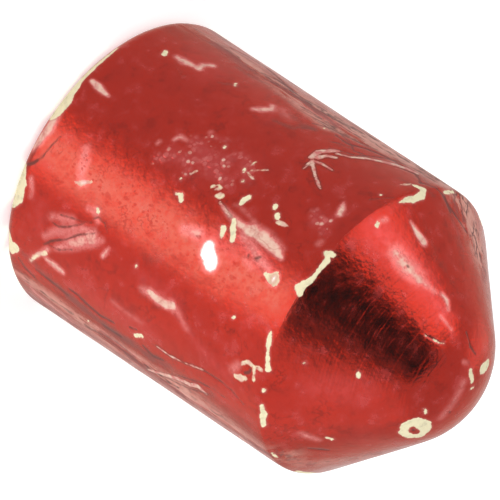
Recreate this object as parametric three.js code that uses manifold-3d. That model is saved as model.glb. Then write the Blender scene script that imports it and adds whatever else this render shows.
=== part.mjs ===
// Pocket cue-chalk holder: a turned, lacquered barrel with a pull-off conical nose cap.
// A standard chalk cube stands in a rubber sleeve inside the barrel, and a pot magnet is let into the tail.
// Units are millimetres. The axis is +Z, nose up, with the origin at the middle of the flat tail face.
// The holder is sized from the inside out: the cube sets the sleeve, the bore, the barrel and its length.

import * as THREE from 'three';
import { mergeVertices } from 'three/addons/utils/BufferGeometryUtils.js';
import Module from 'manifold-3d';

const wasm = await Module();
wasm.setup();

// ---- Clearances ----
const gap = 0.3; // between pieces that seat on or slide in each other
const sealGap = 0.1; // round the O-ring, which fills its groove and the bore
const wrapGap = 0.05; // between the block of chalk and its paper

// ---- Chalk ----
const chalkSide = 22;
const chalkEdgeRadius = 1;
const dishDepth = 2.6; // hollow worn in the top by the cue tip
const dishRadius = 8.5; // of the hollow's rim
const labelThickness = 0.2;
const labelSetback = 3.5; // bare chalk above the paper

// ---- Sleeve ----
const pocketClearance = 0.25; // between the paper and the pocket's wall
const sleeveCornerWall = 1.66; // rubber left outside the pocket's corners
const sleeveFloor = 1.2;
const sleeveSetback = 5; // chalk that stands out of the sleeve, to be gripped
const feltThickness = 0.8; // felt under the chalk
const feltSetback = 0.5;

// ---- Barrel ----
const barrelWall = 2.4;
const tailFillet = 2.1;
const tailLipHeight = 6;
const tailLipLedge = 1.1; // ledge that carries the base plug's flange
const mouthChamfer = 0.4;
const shoulderFillet = 2.6;

// ---- Base plug, its clip and the magnet ----
const plugFlange = 2;
const plugChamfer = 0.3;
const clipThickness = 1.2;
const clipGrooveDepth = 0.9;
const clipWidth = 2.3;
const clipOpening = 26; // degrees between the clip's ends
const clipEarRadius = 1.9;
const clipEarHole = 0.75;
const potRadius = 10;
const potHeight = 4;
const potWall = 1.2;
const magnetHole = 4.2;
const magnetSetback = 0.3; // magnet below the pot's rim
const screwRadius = 1.6;
const screwHeadRadius = 3;
const screwHeadEdge = 0.8;
const screwBite = 3; // shank inside the plug
const socketRadius = 1.2;
const socketDepth = 0.9;

// ---- Nose cap ----
const noseHalfAngle = 42.2; // degrees from the axis to the cone
const noseTipRadius = 12.4;
const noseWall = 2.2;
const roofRadius = 7.5; // flat ceiling inside the nose
const roofFeltThickness = 2;

// ---- Spigot that plugs the cap into the barrel, and its seal ----
const skirtLength = 8;
const skirtClearance = 1.2; // above the chalk
const skirtWall = 2.3;
const skirtLead = 0.6; // chamfer at the skirt's lower edge
const webThickness = 1.6;
const neckStep = 3.3;
const neckWall = 1.6;
const sealSection = 1.5; // diameter of the O-ring's cord
const sealHeight = 4.2; // of the groove's middle above the skirt's lower edge

// ---- Fineness of the round shapes ----
const roundSides = 60;
const smallSides = 40;
const screwSides = 24;
const filletSteps = 5;
const tipSteps = 9;
const sealSteps = 12;
const cornerSteps = 4;

// ---- Sizes that follow: radii, from the chalk outwards ----
const chalkHalf = chalkSide / 2;
const labelInner = chalkHalf + wrapGap;
const labelOuter = labelInner + labelThickness;
const pocketHalf = labelOuter + pocketClearance;
const pocketCorner = chalkEdgeRadius + pocketHalf - chalkHalf;
const pocketReach = (pocketHalf - pocketCorner) * Math.SQRT2 + pocketCorner;
const sleeveRadius = pocketReach + sleeveCornerWall;
const boreRadius = sleeveRadius + gap;
const barrelRadius = boreRadius + barrelWall;
const tailHoleRadius = boreRadius - tailLipLedge;
const plugRadius = tailHoleRadius - gap;
const flangeRadius = boreRadius - gap;
const skirtRadius = boreRadius - gap;
const skirtInner = skirtRadius - skirtWall;
const neckRadius = skirtRadius - neckStep;
const neckInner = neckRadius - neckWall;
const sealOuter = boreRadius - sealGap;
const sealMiddle = sealOuter - sealSection / 2;

// ---- Sizes that follow: heights, from the tail upwards ----
const flangeBottom = tailLipHeight + gap;
const plugTop = flangeBottom + plugFlange;
const clipBottom = plugTop + gap;
const sleeveBottom = clipBottom + clipThickness + gap;
const feltBottom = sleeveBottom + sleeveFloor + gap;
const chalkBottom = feltBottom + feltThickness + gap;
const chalkTop = chalkBottom + chalkSide;
const skirtBottom = chalkTop + skirtClearance;
const mouthHeight = skirtBottom + skirtLength;
const capBase = mouthHeight + gap;
const partingHeight = mouthHeight + gap / 2;

// ---- The outline of the nose: a fillet at the shoulder, a cone and a round tip ----
const coneAngle = THREE.MathUtils.degToRad(noseHalfAngle);
const coneSlope = Math.tan(coneAngle);
const filletCentreRadius = barrelRadius - shoulderFillet;
const filletCentreHeight = partingHeight - shoulderFillet * Math.sin(coneAngle / 2);
const shoulderHeight = filletCentreHeight + shoulderFillet * Math.tan(coneAngle / 2);
const tipCentreHeight = shoulderHeight + barrelRadius / coneSlope - noseTipRadius / Math.sin(coneAngle);
const innerConeRadius = barrelRadius - noseWall / Math.cos(coneAngle);
const innerConeHeight = (radius) => shoulderHeight + (innerConeRadius - radius) / coneSlope;
const neckBoreRadius = neckRadius + gap;
const neckBoreTop = innerConeHeight(neckBoreRadius);
const roofHeight = innerConeHeight(roofRadius);

// ---- Shapes ----

// Points on an arc about (radius, height), in degrees from the outward direction.
function arc(centreRadius, centreHeight, radius, from, to, steps) {
  const points = [];
  for (let step = 0; step <= steps; step += 1) {
    const angle = THREE.MathUtils.degToRad(from + ((to - from) * step) / steps);
    points.push([centreRadius + radius * Math.cos(angle), centreHeight + radius * Math.sin(angle)]);
  }
  return points;
}

// The shoulder's fillet between two heights, as seen in the outline.
function shoulderArc(fromHeight, toHeight) {
  const angleAt = (height) => THREE.MathUtils.radToDeg(Math.asin((height - filletCentreHeight) / shoulderFillet));
  return arc(filletCentreRadius, filletCentreHeight, shoulderFillet, angleAt(fromHeight), angleAt(toHeight), filletSteps);
}

// A profile of [radius, height] points turned about +Z. The outside runs upwards.
function turned(profile, sides = roundSides) {
  const points = profile.map(([radius, height]) => new THREE.Vector2(radius, height));
  return new THREE.LatheGeometry(points, sides).rotateX(Math.PI / 2);
}

function turnedRing(profile, sides = roundSides) {
  return turned([...profile, profile[0]], sides);
}

function roundedSquare(half, corner, shape = new THREE.Shape()) {
  const flat = half - corner;
  shape.absarc(flat, flat, corner, 0, Math.PI / 2, false);
  shape.absarc(-flat, flat, corner, Math.PI / 2, Math.PI, false);
  shape.absarc(-flat, -flat, corner, Math.PI, Math.PI * 1.5, false);
  shape.absarc(flat, -flat, corner, Math.PI * 1.5, Math.PI * 2, false);
  return shape;
}

// A prism on the outline, standing on the given height.
function prism(outline, bottom, height, curveSegments = cornerSteps) {
  const geometry = new THREE.ExtrudeGeometry(outline, { depth: height, bevelEnabled: false, curveSegments });
  return geometry.translate(0, 0, bottom);
}

// ---- Booleans ----

function solidOf(geometry) {
  const bare = geometry.clone();
  bare.deleteAttribute('normal');
  bare.deleteAttribute('uv');
  const merged = mergeVertices(bare);
  return new wasm.Manifold(new wasm.Mesh({
    numProp: 3,
    vertProperties: new Float32Array(merged.attributes.position.array),
    triVerts: new Uint32Array(merged.index.array),
  }));
}

function geometryOf(solid) {
  const mesh = solid.getMesh();
  const geometry = new THREE.BufferGeometry();
  geometry.setAttribute('position', new THREE.BufferAttribute(mesh.vertProperties, 3));
  geometry.setIndex(new THREE.BufferAttribute(mesh.triVerts, 1));
  geometry.computeVertexNormals();
  return geometry;
}

// ---- Barrel ----

function barrel() {
  const grooveRadius = boreRadius + clipGrooveDepth;
  const grooveTop = sleeveBottom;
  return turnedRing([
    [tailHoleRadius, 0],
    ...arc(barrelRadius - tailFillet, tailFillet, tailFillet, -90, 0, filletSteps),
    ...shoulderArc(filletCentreHeight, mouthHeight),
    [boreRadius + mouthChamfer, mouthHeight],
    [boreRadius, mouthHeight - mouthChamfer],
    [boreRadius, grooveTop],
    [grooveRadius, grooveTop],
    [grooveRadius, plugTop],
    [boreRadius, plugTop],
    [boreRadius, tailLipHeight],
    [tailHoleRadius, tailLipHeight],
  ]);
}

// ---- Base: plug, clip, pot magnet and screw ----

const potBottom = gap;
const potTop = potBottom + potHeight;
const recessTop = potTop + gap;
const potFloorBottom = potTop - potWall;
const sinkSlope = (screwHeadRadius - screwRadius) / potWall;

function basePlug() {
  return turnedRing([
    [potRadius + gap, 0],
    [plugRadius - plugChamfer, 0],
    [plugRadius, plugChamfer],
    [plugRadius, flangeBottom],
    [flangeRadius, flangeBottom],
    [flangeRadius, plugTop],
    [screwRadius + gap, plugTop],
    [screwRadius + gap, recessTop],
    [potRadius + gap, recessTop],
  ]);
}

// An open spring ring with a pair of ears for the pliers.
function plugClip() {
  const outer = boreRadius + clipGrooveDepth - gap;
  const inner = outer - clipWidth;
  const half = THREE.MathUtils.degToRad(clipOpening / 2);
  const outline = new THREE.Shape();
  outline.absarc(0, 0, outer, half, Math.PI * 2 - half, false);
  outline.absarc(0, 0, inner, Math.PI * 2 - half, half, true);
  const ears = [-1, 1].map((side) => {
    const turn = side * (half + clipEarRadius / inner);
    const ear = new THREE.Shape();
    const x = (inner - clipEarRadius / 2) * Math.cos(turn);
    const y = (inner - clipEarRadius / 2) * Math.sin(turn);
    ear.absarc(x, y, clipEarRadius, 0, Math.PI * 2, false);
    const hole = new THREE.Path();
    hole.absarc(x, y, clipEarHole, 0, Math.PI * 2, true);
    return { ear, hole: new THREE.Shape(hole.getPoints(cornerSteps)) };
  });
  let clip = solidOf(prism(outline, clipBottom, clipThickness, smallSides));
  for (const { ear } of ears) clip = clip.add(solidOf(prism(ear, clipBottom, clipThickness, cornerSteps)));
  for (const { hole } of ears) {
    clip = clip.subtract(solidOf(prism(hole, clipBottom - gap, clipThickness + 2 * gap)));
  }
  return geometryOf(clip);
}

function magnetPot() {
  return turnedRing([
    [potRadius - potWall, potBottom],
    [potRadius, potBottom],
    [potRadius, potTop],
    [screwRadius + gap, potTop],
    [screwHeadRadius + gap, potFloorBottom],
    [potRadius - potWall, potFloorBottom],
  ], smallSides);
}

function potMagnet() {
  const outer = potRadius - potWall - gap;
  const bottom = potBottom + magnetSetback;
  const top = potFloorBottom - gap;
  return turnedRing([[magnetHole, bottom], [outer, bottom], [outer, top], [magnetHole, top]], smallSides);
}

function baseScrew() {
  const headBottom = potFloorBottom - screwHeadEdge;
  const body = solidOf(turned([
    [0, headBottom],
    [screwHeadRadius, headBottom],
    [screwHeadRadius, potFloorBottom],
    [screwHeadRadius - sinkSlope * potWall, potTop],
    [screwRadius, recessTop + screwBite],
    [0, recessTop + screwBite],
  ], screwSides));
  const socket = new THREE.CylinderGeometry(socketRadius, socketRadius, 2 * socketDepth, 6);
  socket.rotateX(Math.PI / 2).translate(0, 0, headBottom);
  return geometryOf(body.subtract(solidOf(socket)));
}

// ---- Chalk and what holds it ----

function chalkSleeve() {
  const height = chalkTop - sleeveSetback - sleeveBottom;
  const pocketBottom = sleeveBottom + sleeveFloor;
  const outside = turned([
    [0, sleeveBottom],
    [sleeveRadius, sleeveBottom],
    [sleeveRadius, sleeveBottom + height],
    [0, sleeveBottom + height],
  ]);
  const pocket = prism(roundedSquare(pocketHalf, pocketCorner), pocketBottom, height);
  return geometryOf(solidOf(outside).subtract(solidOf(pocket)));
}

function chalkFelt() {
  return prism(roundedSquare(chalkHalf - feltSetback, chalkEdgeRadius), feltBottom, feltThickness);
}

function chalkCube() {
  const block = prism(roundedSquare(chalkHalf, chalkEdgeRadius), chalkBottom, chalkSide);
  const ballRadius = (dishRadius ** 2 + dishDepth ** 2) / (2 * dishDepth);
  const ball = new THREE.SphereGeometry(ballRadius, smallSides, smallSides);
  ball.rotateX(Math.PI / 2).translate(0, 0, chalkTop - dishDepth + ballRadius);
  return geometryOf(solidOf(block).subtract(solidOf(ball)));
}

function chalkLabel() {
  const outline = roundedSquare(labelOuter, chalkEdgeRadius + wrapGap + labelThickness);
  outline.holes.push(roundedSquare(labelInner, chalkEdgeRadius + wrapGap, new THREE.Path()));
  return prism(outline, chalkBottom, chalkSide - labelSetback);
}

// ---- Nose cap, spigot, seal and felt ----

function noseCap() {
  const tangent = THREE.MathUtils.radToDeg(coneAngle);
  const coneStart = filletCentreHeight + shoulderFillet * Math.sin(coneAngle);
  return turned([
    [0, roofHeight],
    [roofRadius, roofHeight],
    [neckBoreRadius, neckBoreTop],
    [neckBoreRadius, capBase],
    ...shoulderArc(capBase, coneStart),
    ...arc(0, tipCentreHeight, noseTipRadius, tangent, 90, tipSteps),
  ]);
}

function capSpigot() {
  const grooveMiddle = skirtBottom + sealHeight;
  const grooveHalf = sealSection / 2 + sealGap;
  const grooveRadius = sealMiddle - sealSection / 2 - sealGap;
  const neckTop = neckBoreTop - gap;
  return turnedRing([
    [skirtInner, skirtBottom],
    [skirtRadius - skirtLead, skirtBottom],
    [skirtRadius, skirtBottom + skirtLead],
    [skirtRadius, grooveMiddle - grooveHalf],
    [grooveRadius, grooveMiddle - grooveHalf],
    [grooveRadius, grooveMiddle + grooveHalf],
    [skirtRadius, grooveMiddle + grooveHalf],
    [skirtRadius, mouthHeight],
    [neckRadius, mouthHeight],
    [neckRadius, neckTop],
    [neckInner, neckTop],
    [neckInner, mouthHeight - webThickness],
    [skirtInner, mouthHeight - webThickness],
  ]);
}

function capSeal() {
  return turned(arc(sealMiddle, skirtBottom + sealHeight, sealSection / 2, -180, 180, sealSteps));
}

function roofFelt() {
  const radius = roofRadius - gap;
  const top = roofHeight - gap;
  const bottom = top - roofFeltThickness;
  return turned([[0, bottom], [radius, bottom], [radius, top], [0, top]], smallSides);
}

// ---- Finishes ----

const finish = (color, roughness, metalness) => new THREE.MeshStandardMaterial({ color, roughness, metalness });
const redLacquer = finish(0xaf3028, 0.25, 0.6);
const brass = finish(0xd8b878, 0.35, 0.9);
const springSteel = finish(0x6f7276, 0.4, 0.9);
const nickel = finish(0xb9bbb8, 0.3, 0.95);
const ferrite = finish(0x3b3b3e, 0.7, 0.2);
const blackRubber = finish(0x1c1c1d, 0.8, 0);
const greenFelt = finish(0x2f5a3c, 0.95, 0);
const blueChalk = finish(0x3f78ad, 1, 0);
const paper = finish(0xe9e2d0, 0.9, 0);

// ---- The holder ----

const holder = new THREE.Group();

function add(name, geometry, material, group = holder) {
  const mesh = new THREE.Mesh(geometry, material.clone());
  mesh.name = name;
  group.add(mesh);
}

add('barrel', barrel(), redLacquer);
add('base_plug', basePlug(), brass);
add('plug_clip', plugClip(), springSteel);
add('magnet_pot', magnetPot(), nickel);
add('pot_magnet', potMagnet(), ferrite);
add('base_screw', baseScrew(), nickel);
add('chalk_sleeve', chalkSleeve(), blackRubber);
add('chalk_felt', chalkFelt(), greenFelt);
add('chalk_cube', chalkCube(), blueChalk);
add('chalk_label', chalkLabel(), paper);

const cap = new THREE.Group();
holder.add(cap);
add('nose_cap', noseCap(), redLacquer, cap);
add('cap_spigot', capSpigot(), brass, cap);
add('cap_seal', capSeal(), blackRubber, cap);
add('roof_felt', roofFelt(), greenFelt, cap);

export default holder;
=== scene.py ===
"""A pocket holder for a cube of cue chalk: a lacquered metal barrel with a pull-off conical nose.

Lengths in the code are metres, apart from the tables of marks, which are in degrees and millimetres.
"""

import math
import random
from collections import namedtuple

import bpy
import numpy as np
from bpy.props import FloatProperty, FloatVectorProperty, IntProperty, PointerProperty
from mathutils import Matrix, Vector

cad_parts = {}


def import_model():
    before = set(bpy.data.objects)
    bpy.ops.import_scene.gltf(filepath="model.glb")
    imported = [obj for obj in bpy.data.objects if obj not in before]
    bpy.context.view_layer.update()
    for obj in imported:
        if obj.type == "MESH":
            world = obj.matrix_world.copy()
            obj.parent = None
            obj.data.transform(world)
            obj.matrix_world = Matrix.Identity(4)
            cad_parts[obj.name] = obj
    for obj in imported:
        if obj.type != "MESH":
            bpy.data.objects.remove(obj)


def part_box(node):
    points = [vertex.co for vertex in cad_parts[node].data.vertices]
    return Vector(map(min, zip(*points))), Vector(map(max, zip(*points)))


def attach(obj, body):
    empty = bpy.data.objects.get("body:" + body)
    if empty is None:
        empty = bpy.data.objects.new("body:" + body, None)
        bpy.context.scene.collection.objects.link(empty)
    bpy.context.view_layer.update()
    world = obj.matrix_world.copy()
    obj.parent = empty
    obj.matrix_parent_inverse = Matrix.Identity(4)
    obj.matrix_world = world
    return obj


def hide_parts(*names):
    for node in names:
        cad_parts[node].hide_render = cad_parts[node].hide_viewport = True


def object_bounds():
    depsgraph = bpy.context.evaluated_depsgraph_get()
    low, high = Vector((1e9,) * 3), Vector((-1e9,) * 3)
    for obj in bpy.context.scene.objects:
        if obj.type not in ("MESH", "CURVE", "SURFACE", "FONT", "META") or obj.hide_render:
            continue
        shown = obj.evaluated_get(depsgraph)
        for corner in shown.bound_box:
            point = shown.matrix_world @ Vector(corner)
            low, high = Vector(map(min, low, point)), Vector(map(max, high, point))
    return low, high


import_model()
cad_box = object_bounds()

bl_info = {
    "name": "Cue Chalk Holder",
    "version": (1, 0, 0),
    "blender": (4, 5, 0),
    "location": "View3D > Sidebar > Chalk Holder",
    "description": "A lacquered pocket holder for a cube of cue chalk",
    "category": "Add Mesh",
}

MM = 0.001

# ---- Sizes and places taken from the frame ----

BARREL_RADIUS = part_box("barrel")[1].x
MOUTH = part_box("barrel")[1].z
CAP_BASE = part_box("nose_cap")[0].z
CAP_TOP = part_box("nose_cap")[1].z
PARTING = (MOUTH + CAP_BASE) / 2
SKIRT_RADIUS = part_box("cap_spigot")[1].x
SKIRT_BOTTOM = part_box("cap_spigot")[0].z
NECK_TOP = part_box("cap_spigot")[1].z
SLEEVE_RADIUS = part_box("chalk_sleeve")[1].x
SLEEVE_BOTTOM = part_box("chalk_sleeve")[0].z
SLEEVE_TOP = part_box("chalk_sleeve")[1].z
PLUG_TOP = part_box("base_plug")[1].z
CLIP_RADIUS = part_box("plug_clip")[1].y
CLIP_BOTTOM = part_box("plug_clip")[0].z
CLIP_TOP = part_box("plug_clip")[1].z
POT_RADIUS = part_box("magnet_pot")[1].x
POT_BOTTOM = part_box("magnet_pot")[0].z
POT_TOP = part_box("magnet_pot")[1].z
MAGNET_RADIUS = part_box("pot_magnet")[1].x
MAGNET_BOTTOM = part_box("pot_magnet")[0].z
MAGNET_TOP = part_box("pot_magnet")[1].z
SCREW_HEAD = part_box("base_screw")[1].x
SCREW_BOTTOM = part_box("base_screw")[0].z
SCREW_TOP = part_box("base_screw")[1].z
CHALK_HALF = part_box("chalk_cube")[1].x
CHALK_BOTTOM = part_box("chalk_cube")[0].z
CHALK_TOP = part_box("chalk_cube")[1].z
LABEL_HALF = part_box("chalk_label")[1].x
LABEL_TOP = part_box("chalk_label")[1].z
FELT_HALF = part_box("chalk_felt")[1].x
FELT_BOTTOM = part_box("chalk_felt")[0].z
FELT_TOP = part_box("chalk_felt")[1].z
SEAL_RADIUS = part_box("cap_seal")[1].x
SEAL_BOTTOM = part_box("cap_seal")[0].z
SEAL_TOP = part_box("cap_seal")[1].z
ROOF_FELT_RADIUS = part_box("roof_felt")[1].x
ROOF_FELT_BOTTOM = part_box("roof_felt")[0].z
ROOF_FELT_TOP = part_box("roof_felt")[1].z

SEAT_GAP = 0.3 * MM  # between pieces that seat on each other
BORE_RADIUS = SKIRT_RADIUS + SEAT_GAP


# ---- Settings ----


def length_setting(name, description, default):
    return FloatProperty(name=name, description=description, default=default, unit="LENGTH")


def angle_setting(name, description, degrees):
    default = math.radians(degrees)
    return FloatProperty(name=name, description=description, default=default, subtype="ANGLE")


def colour_setting(name, description, default):
    return FloatVectorProperty(name=name, description=description, default=default, subtype="COLOR")


def amount_setting(name, description, default, most=100):
    return FloatProperty(name=name, description=description, default=default, min=0, max=most)


class HolderBody(bpy.types.PropertyGroup):
    """Shape of the barrel and the nose."""

    tail_fillet: length_setting("Tail fillet", "Radius of the barrel's lower rim", 2.1 * MM)
    tail_lip: length_setting("Tail lip", "Height of the ledge under the base plug", 6 * MM)
    tail_ledge: length_setting("Tail ledge", "Width of the ledge under the base plug", 1.1 * MM)
    clip_groove: length_setting("Clip groove", "Depth of the groove for the spring clip", 0.9 * MM)
    shoulder_fillet: length_setting("Shoulder fillet", "Radius where barrel and nose meet", 2.6 * MM)
    cone_angle: angle_setting("Cone angle", "Between the axis and the cone", 42.2)
    tip_radius: length_setting("Tip radius", "Radius of the round tip", 12.4 * MM)
    nose_wall: length_setting("Nose wall", "Thickness of the nose's wall", 2.2 * MM)
    roof_radius: length_setting("Roof radius", "Flat ceiling inside the nose", 7.5 * MM)
    parting_gap: length_setting("Parting gap", "Hairline between barrel and nose", 0.004 * MM)
    facets: IntProperty(name="Facets", description="Steps round the lacquered shells", default=480, min=60)
    ring_spacing: length_setting("Ring spacing", "Between the rings of the shells", 0.28 * MM)


class LacquerFinish(bpy.types.PropertyGroup):
    """Colours and relief of the chipped red lacquer."""

    red: colour_setting("Red", "Lacquer over polished metal", (0.40, 0.017, 0.006))
    deep_red: colour_setting("Deep red", "Thicker lacquer", (0.335, 0.014, 0.006))
    # Thin red also paints the highlight stripe down the front of the barrel.
    thin_and_highlight: colour_setting("Thin red", "Lacquer rubbed thin", (0.39, 0.066, 0.044))
    undercoat: colour_setting("Undercoat", "Bare undercoat in the chips", (0.88, 0.80, 0.53))
    # Haze also paints the cone's highlight and the sparkles on the crinkles.
    haze_and_highlight: colour_setting("Haze", "Clouded, lifted lacquer", (0.78, 0.52, 0.41))
    lifted: colour_setting("Lifted", "Faintly clouded lacquer", (0.62, 0.16, 0.145))
    # Blush also tints the cone's painted highlight.
    blush_and_highlight: colour_setting("Blush", "Thin pink lacquer", (0.50, 0.056, 0.053))
    # The film colour paints the pale reflection along the barrel's sides.
    film_and_reflection: colour_setting("Film", "Grey-pink film between the streaks of grime", (0.68, 0.34, 0.27))
    tarnish: colour_setting("Tarnish", "Dark streaks", (0.10, 0.022, 0.016))
    chip_depth: length_setting("Chip depth", "Thickness of lacquer lost in a chip", 0.12 * MM)
    crease_height: length_setting("Crease height", "How far a wrinkle stands up", 0.05 * MM)
    crack_depth: length_setting("Crack depth", "Depth of the dark cracks", 0.06 * MM)
    lift_height: length_setting("Lift height", "Unevenness of clouded lacquer", 0.06 * MM)
    crinkle_height: length_setting("Crinkle height", "Unevenness of crinkled lacquer", 0.12 * MM)
    wave_height: length_setting("Wave height", "Unevenness of all the lacquer", 0.07 * MM)
    roughness: amount_setting("Roughness", "Of the lacquer", 0.2, most=1)
    coat: amount_setting("Clear coat", "Weight of the clear coat", 0.22, most=1)
    dimples: amount_setting("Dimples", "Strength of the orange peel", 1.5)


class InsideParts(bpy.types.PropertyGroup):
    """Sizes of what the holder has inside."""

    shank_radius: length_setting("Screw shank", "Radius of the base screw's shank", 1.6 * MM)
    pot_wall: length_setting("Pot wall", "Thickness of the magnet's pot", 1.2 * MM)
    clip_width: length_setting("Clip width", "Width of the spring clip's wire", 2.3 * MM)
    chalk_corner: length_setting("Chalk corner", "Radius of the cube's upright edges", 1.0 * MM)
    dish_radius: length_setting("Dish radius", "Of the hollow worn in the cube's top", 8.5 * MM)
    dish_depth: length_setting("Dish depth", "Of the hollow worn in the cube's top", 2.6 * MM)
    chalk_grain: length_setting("Chalk grain", "Size of the cube's facets", 0.3 * MM)
    paper: length_setting("Paper", "Thickness of the wrapper", 0.2 * MM)
    sleeve_floor: length_setting("Sleeve floor", "Rubber under the cube", 1.2 * MM)
    sleeve_play: length_setting("Sleeve play", "Between the wrapper and the rubber", 0.25 * MM)
    skirt_wall: length_setting("Skirt wall", "Thickness of the spigot's skirt", 2.3 * MM)
    neck_step: length_setting("Neck step", "From the skirt's outside in to the neck's", 3.3 * MM)
    neck_wall: length_setting("Neck wall", "Thickness of the spigot's neck", 1.6 * MM)
    web: length_setting("Web", "Thickness between skirt and neck", 1.6 * MM)
    seal_gap: length_setting("Seal gap", "Round the seal in its groove", 0.1 * MM)


class InsideFinish(bpy.types.PropertyGroup):
    """Colours of what the holder has inside."""

    brass: colour_setting("Brass", "Turned brass", (0.70, 0.48, 0.20))
    steel: colour_setting("Spring steel", "Blackened spring steel", (0.16, 0.17, 0.18))
    nickel: colour_setting("Nickel", "Plated steel", (0.62, 0.60, 0.56))
    ferrite: colour_setting("Ferrite", "Magnet", (0.045, 0.045, 0.05))
    rubber: colour_setting("Rubber", "Sleeve and seal", (0.018, 0.018, 0.019))
    felt: colour_setting("Felt", "Green felt", (0.03, 0.12, 0.055))
    chalk: colour_setting("Chalk", "Blue cue chalk", (0.06, 0.20, 0.44))
    paper: colour_setting("Paper", "Blank wrapper", (0.72, 0.66, 0.52))


class StageSettings(bpy.types.PropertyGroup):
    """Camera and light."""

    elevation: angle_setting("Elevation", "Of the camera", 30.7)
    roll: angle_setting("Roll", "Turn of the camera about its view", 123.64)
    distance: length_setting("Distance", "From the camera to the holder", 2.0)
    frame_width: length_setting("Frame width", "Width seen at the holder", 61.12 * MM)
    aim_right: length_setting("Aim right", "Of the aim beside the holder's middle", -4.93 * MM)
    aim_up: length_setting("Aim up", "Of the aim above the holder's middle", 3.21 * MM)
    ambient: amount_setting("Ambient", "Light of the room on matt surfaces", 0.6)
    key_strength: amount_setting("Key panel", "Radiance of the tall panel", 2.3)
    fill_strength: amount_setting("Fill panel", "Radiance of the wide panel", 1.38)
    side_strength: amount_setting("Side panel", "Radiance of the side panel", 2.1)
    back_strength: amount_setting("Back panel", "Radiance of the rear panel", 1.6)


# ---- Marks in the lacquer ----
# A stroke is a row of dabs that run into each other. A dab on the barrel or the shoulder is
# (angle, height, radius): degrees round the axis from -Y towards +X, millimetres above the tail,
# millimetres. A dab on the nose is (x, y, radius) as seen from the nose's end, in millimetres.
# Not all of these numbers were chosen by hand. The places of many marks were read by eye off
# enlarged views of the photo, and a scratch script turned them into degrees and millimetres.

SHOULDER_CHIPS = [
    [(-14.8, 44.5, 0.38), (-13.7, 43.9, 0.4), (-12.4, 44.5, 0.34), (-7.8, 44.4, 0.22), (-4, 44.4, 0.28)],
    [(-4, 44.4, 0.28), (-0.2, 43.9, 0.48), (3, 44.1, 0.42), (1.6, 43.5, 0.4)],
    [(-61.5, 43, 0.3), (-63.2, 44.1, 0.52), (-61.3, 44.7, 0.52), (-56.8, 44.8, 0.42), (-49.5, 44.6, 0.2)],
    [(-36.8, 45.2, 0.2), (-35.4, 45.3, 0.24)],
    [(20.4, 43.1, 0.18), (23.2, 43.3, 0.4), (26.4, 43.6, 0.24), (28.8, 43.9, 0.2), (33.5, 44.4, 0.3)],
    [(42.2, 44.4, 0.16), (43.4, 44.4, 0.16)],
    [(49.6, 44.3, 0.3), (53, 44.5, 0.42), (56.4, 44.4, 0.38), (59.6, 44.4, 0.34)],
    [(77, 44.4, 0.26), (80.8, 44.5, 0.26)],
    [(-82, 44.3, 0.3), (-75, 44.6, 0.2)],
]

BARREL_CHIPS = [
    [(1.6, 40, 0.26), (3.6, 40.4, 0.36), (5.6, 40.6, 0.3), (5, 39.7, 0.38), (4, 38.8, 0.22)],
    [(1.6, 40, 0.26), (4.2, 39.4, 0.34)],
    [(-15, 30.4, 0.3), (-13, 30.1, 0.34), (-11.4, 30.1, 0.3)],
    [(-1, 30.2, 0.34), (1.6, 30.6, 0.32)],
    [(-5.4, 30.8, 0.26), (-2.4, 31.5, 0.38), (0.8, 32.2, 0.28)],
    [(-17.6, 34, 0.36), (-16.9, 34.2, 0.32)],
    [(-15.4, 35, 0.4), (-14.6, 35.4, 0.32)],
    [(-2, 22, 0.22), (-2.5, 22.6, 0.32), (-0.8, 23.1, 0.18)],
    [(-22.8, 27.1, 0.28), (-22, 27.3, 0.24)],
    [(-19.2, 28.1, 0.18), (-18.6, 28.2, 0.16)],
    [(-26.2, 22.8, 0.18), (-25.6, 22.9, 0.18)],
    [(-53.2, 15.6, 0.14), (-51.8, 15.9, 0.18)],
    [(-60.8, 28.2, 0.14), (-60, 28.3, 0.18)],
    [(-46.4, 5.7, 0.3), (-45, 6, 0.34)],
    [(18, 13.4, 0.28), (18.7, 13.6, 0.28)],
    [(27.6, 21.5, 0.14), (28.2, 21.5, 0.14)],
    [(23.2, 37.5, 0.18), (23.9, 37.3, 0.2)],
    [(55.8, 23.1, 0.28), (54.9, 23.4, 0.2), (54, 24.1, 0.28)],
    [(66.2, 14.4, 0.18), (67.2, 14.3, 0.14)],
    [(-46, 42.5, 0.12), (-45.6, 42.5, 0.16)],
    [(-7.5, 21.2, 0.14), (-6.9, 21.3, 0.16)],
]

NOSE_CHIPS = [
    [(5.3, -11.4, 0.32), (5.5, -11.3, 0.3)],
    [(7.8, -15.1, 0.2), (7.9, -15.1, 0.18)],
    [
        (7.4, 0.3, 0.46), (8.2, -0.6, 0.52), (8.2, -2.2, 0.54), (7.3, -3.3, 0.6),
        (6.3, -3, 0.76), (6.1, -1.7, 0.96), (6.5, -0.3, 0.66), (7.4, 0.3, 0.46),
    ],
    [(4.8, -3.4, 0.18), (4.4, -4, 0.2)],
    [(-4.4, 1.5, 0.6), (-3.6, 0.7, 0.72)],
    [(-2.6, -1.9, 0.3), (-2.1, -1.4, 0.36), (-1.6, -0.6, 0.22)],
    [(-1, 0.4, 0.22), (-0.8, 0, 0.16)],
    [(13.9, -4.9, 0.22), (13.7, -4.4, 0.26)],
    [(-3.1, -8.9, 0.1), (-3.3, -7.4, 0.16), (-3.6, -6.9, 0.1)],
]

# The lacquer is torn away in places round the tail's rim.
TAIL_TEARS = [
    [(-36, 0.9, 0.24), (-30, 1, 0.4), (-24, 0.9, 0.5), (-18.5, 0.8, 0.7)],
    [(-17, 0.7, 0.8), (-12, 0.8, 1), (-8, 0.9, 1.3), (-4, 0.9, 1.3), (-2, 0.8, 1.1)],
    [(22.6, 0.5, 1.2), (26.4, 0.8, 1.5), (31, 0.9, 1.6), (33.4, 0.7, 1.3)],
    [(50.6, 0.8, 1.1), (53.2, 1.2, 1.25), (52.4, 2.2, 0.8)],
    [(62, 0.3, 1), (74, 0.3, 1.2), (88, 0.2, 1)],
]

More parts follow.
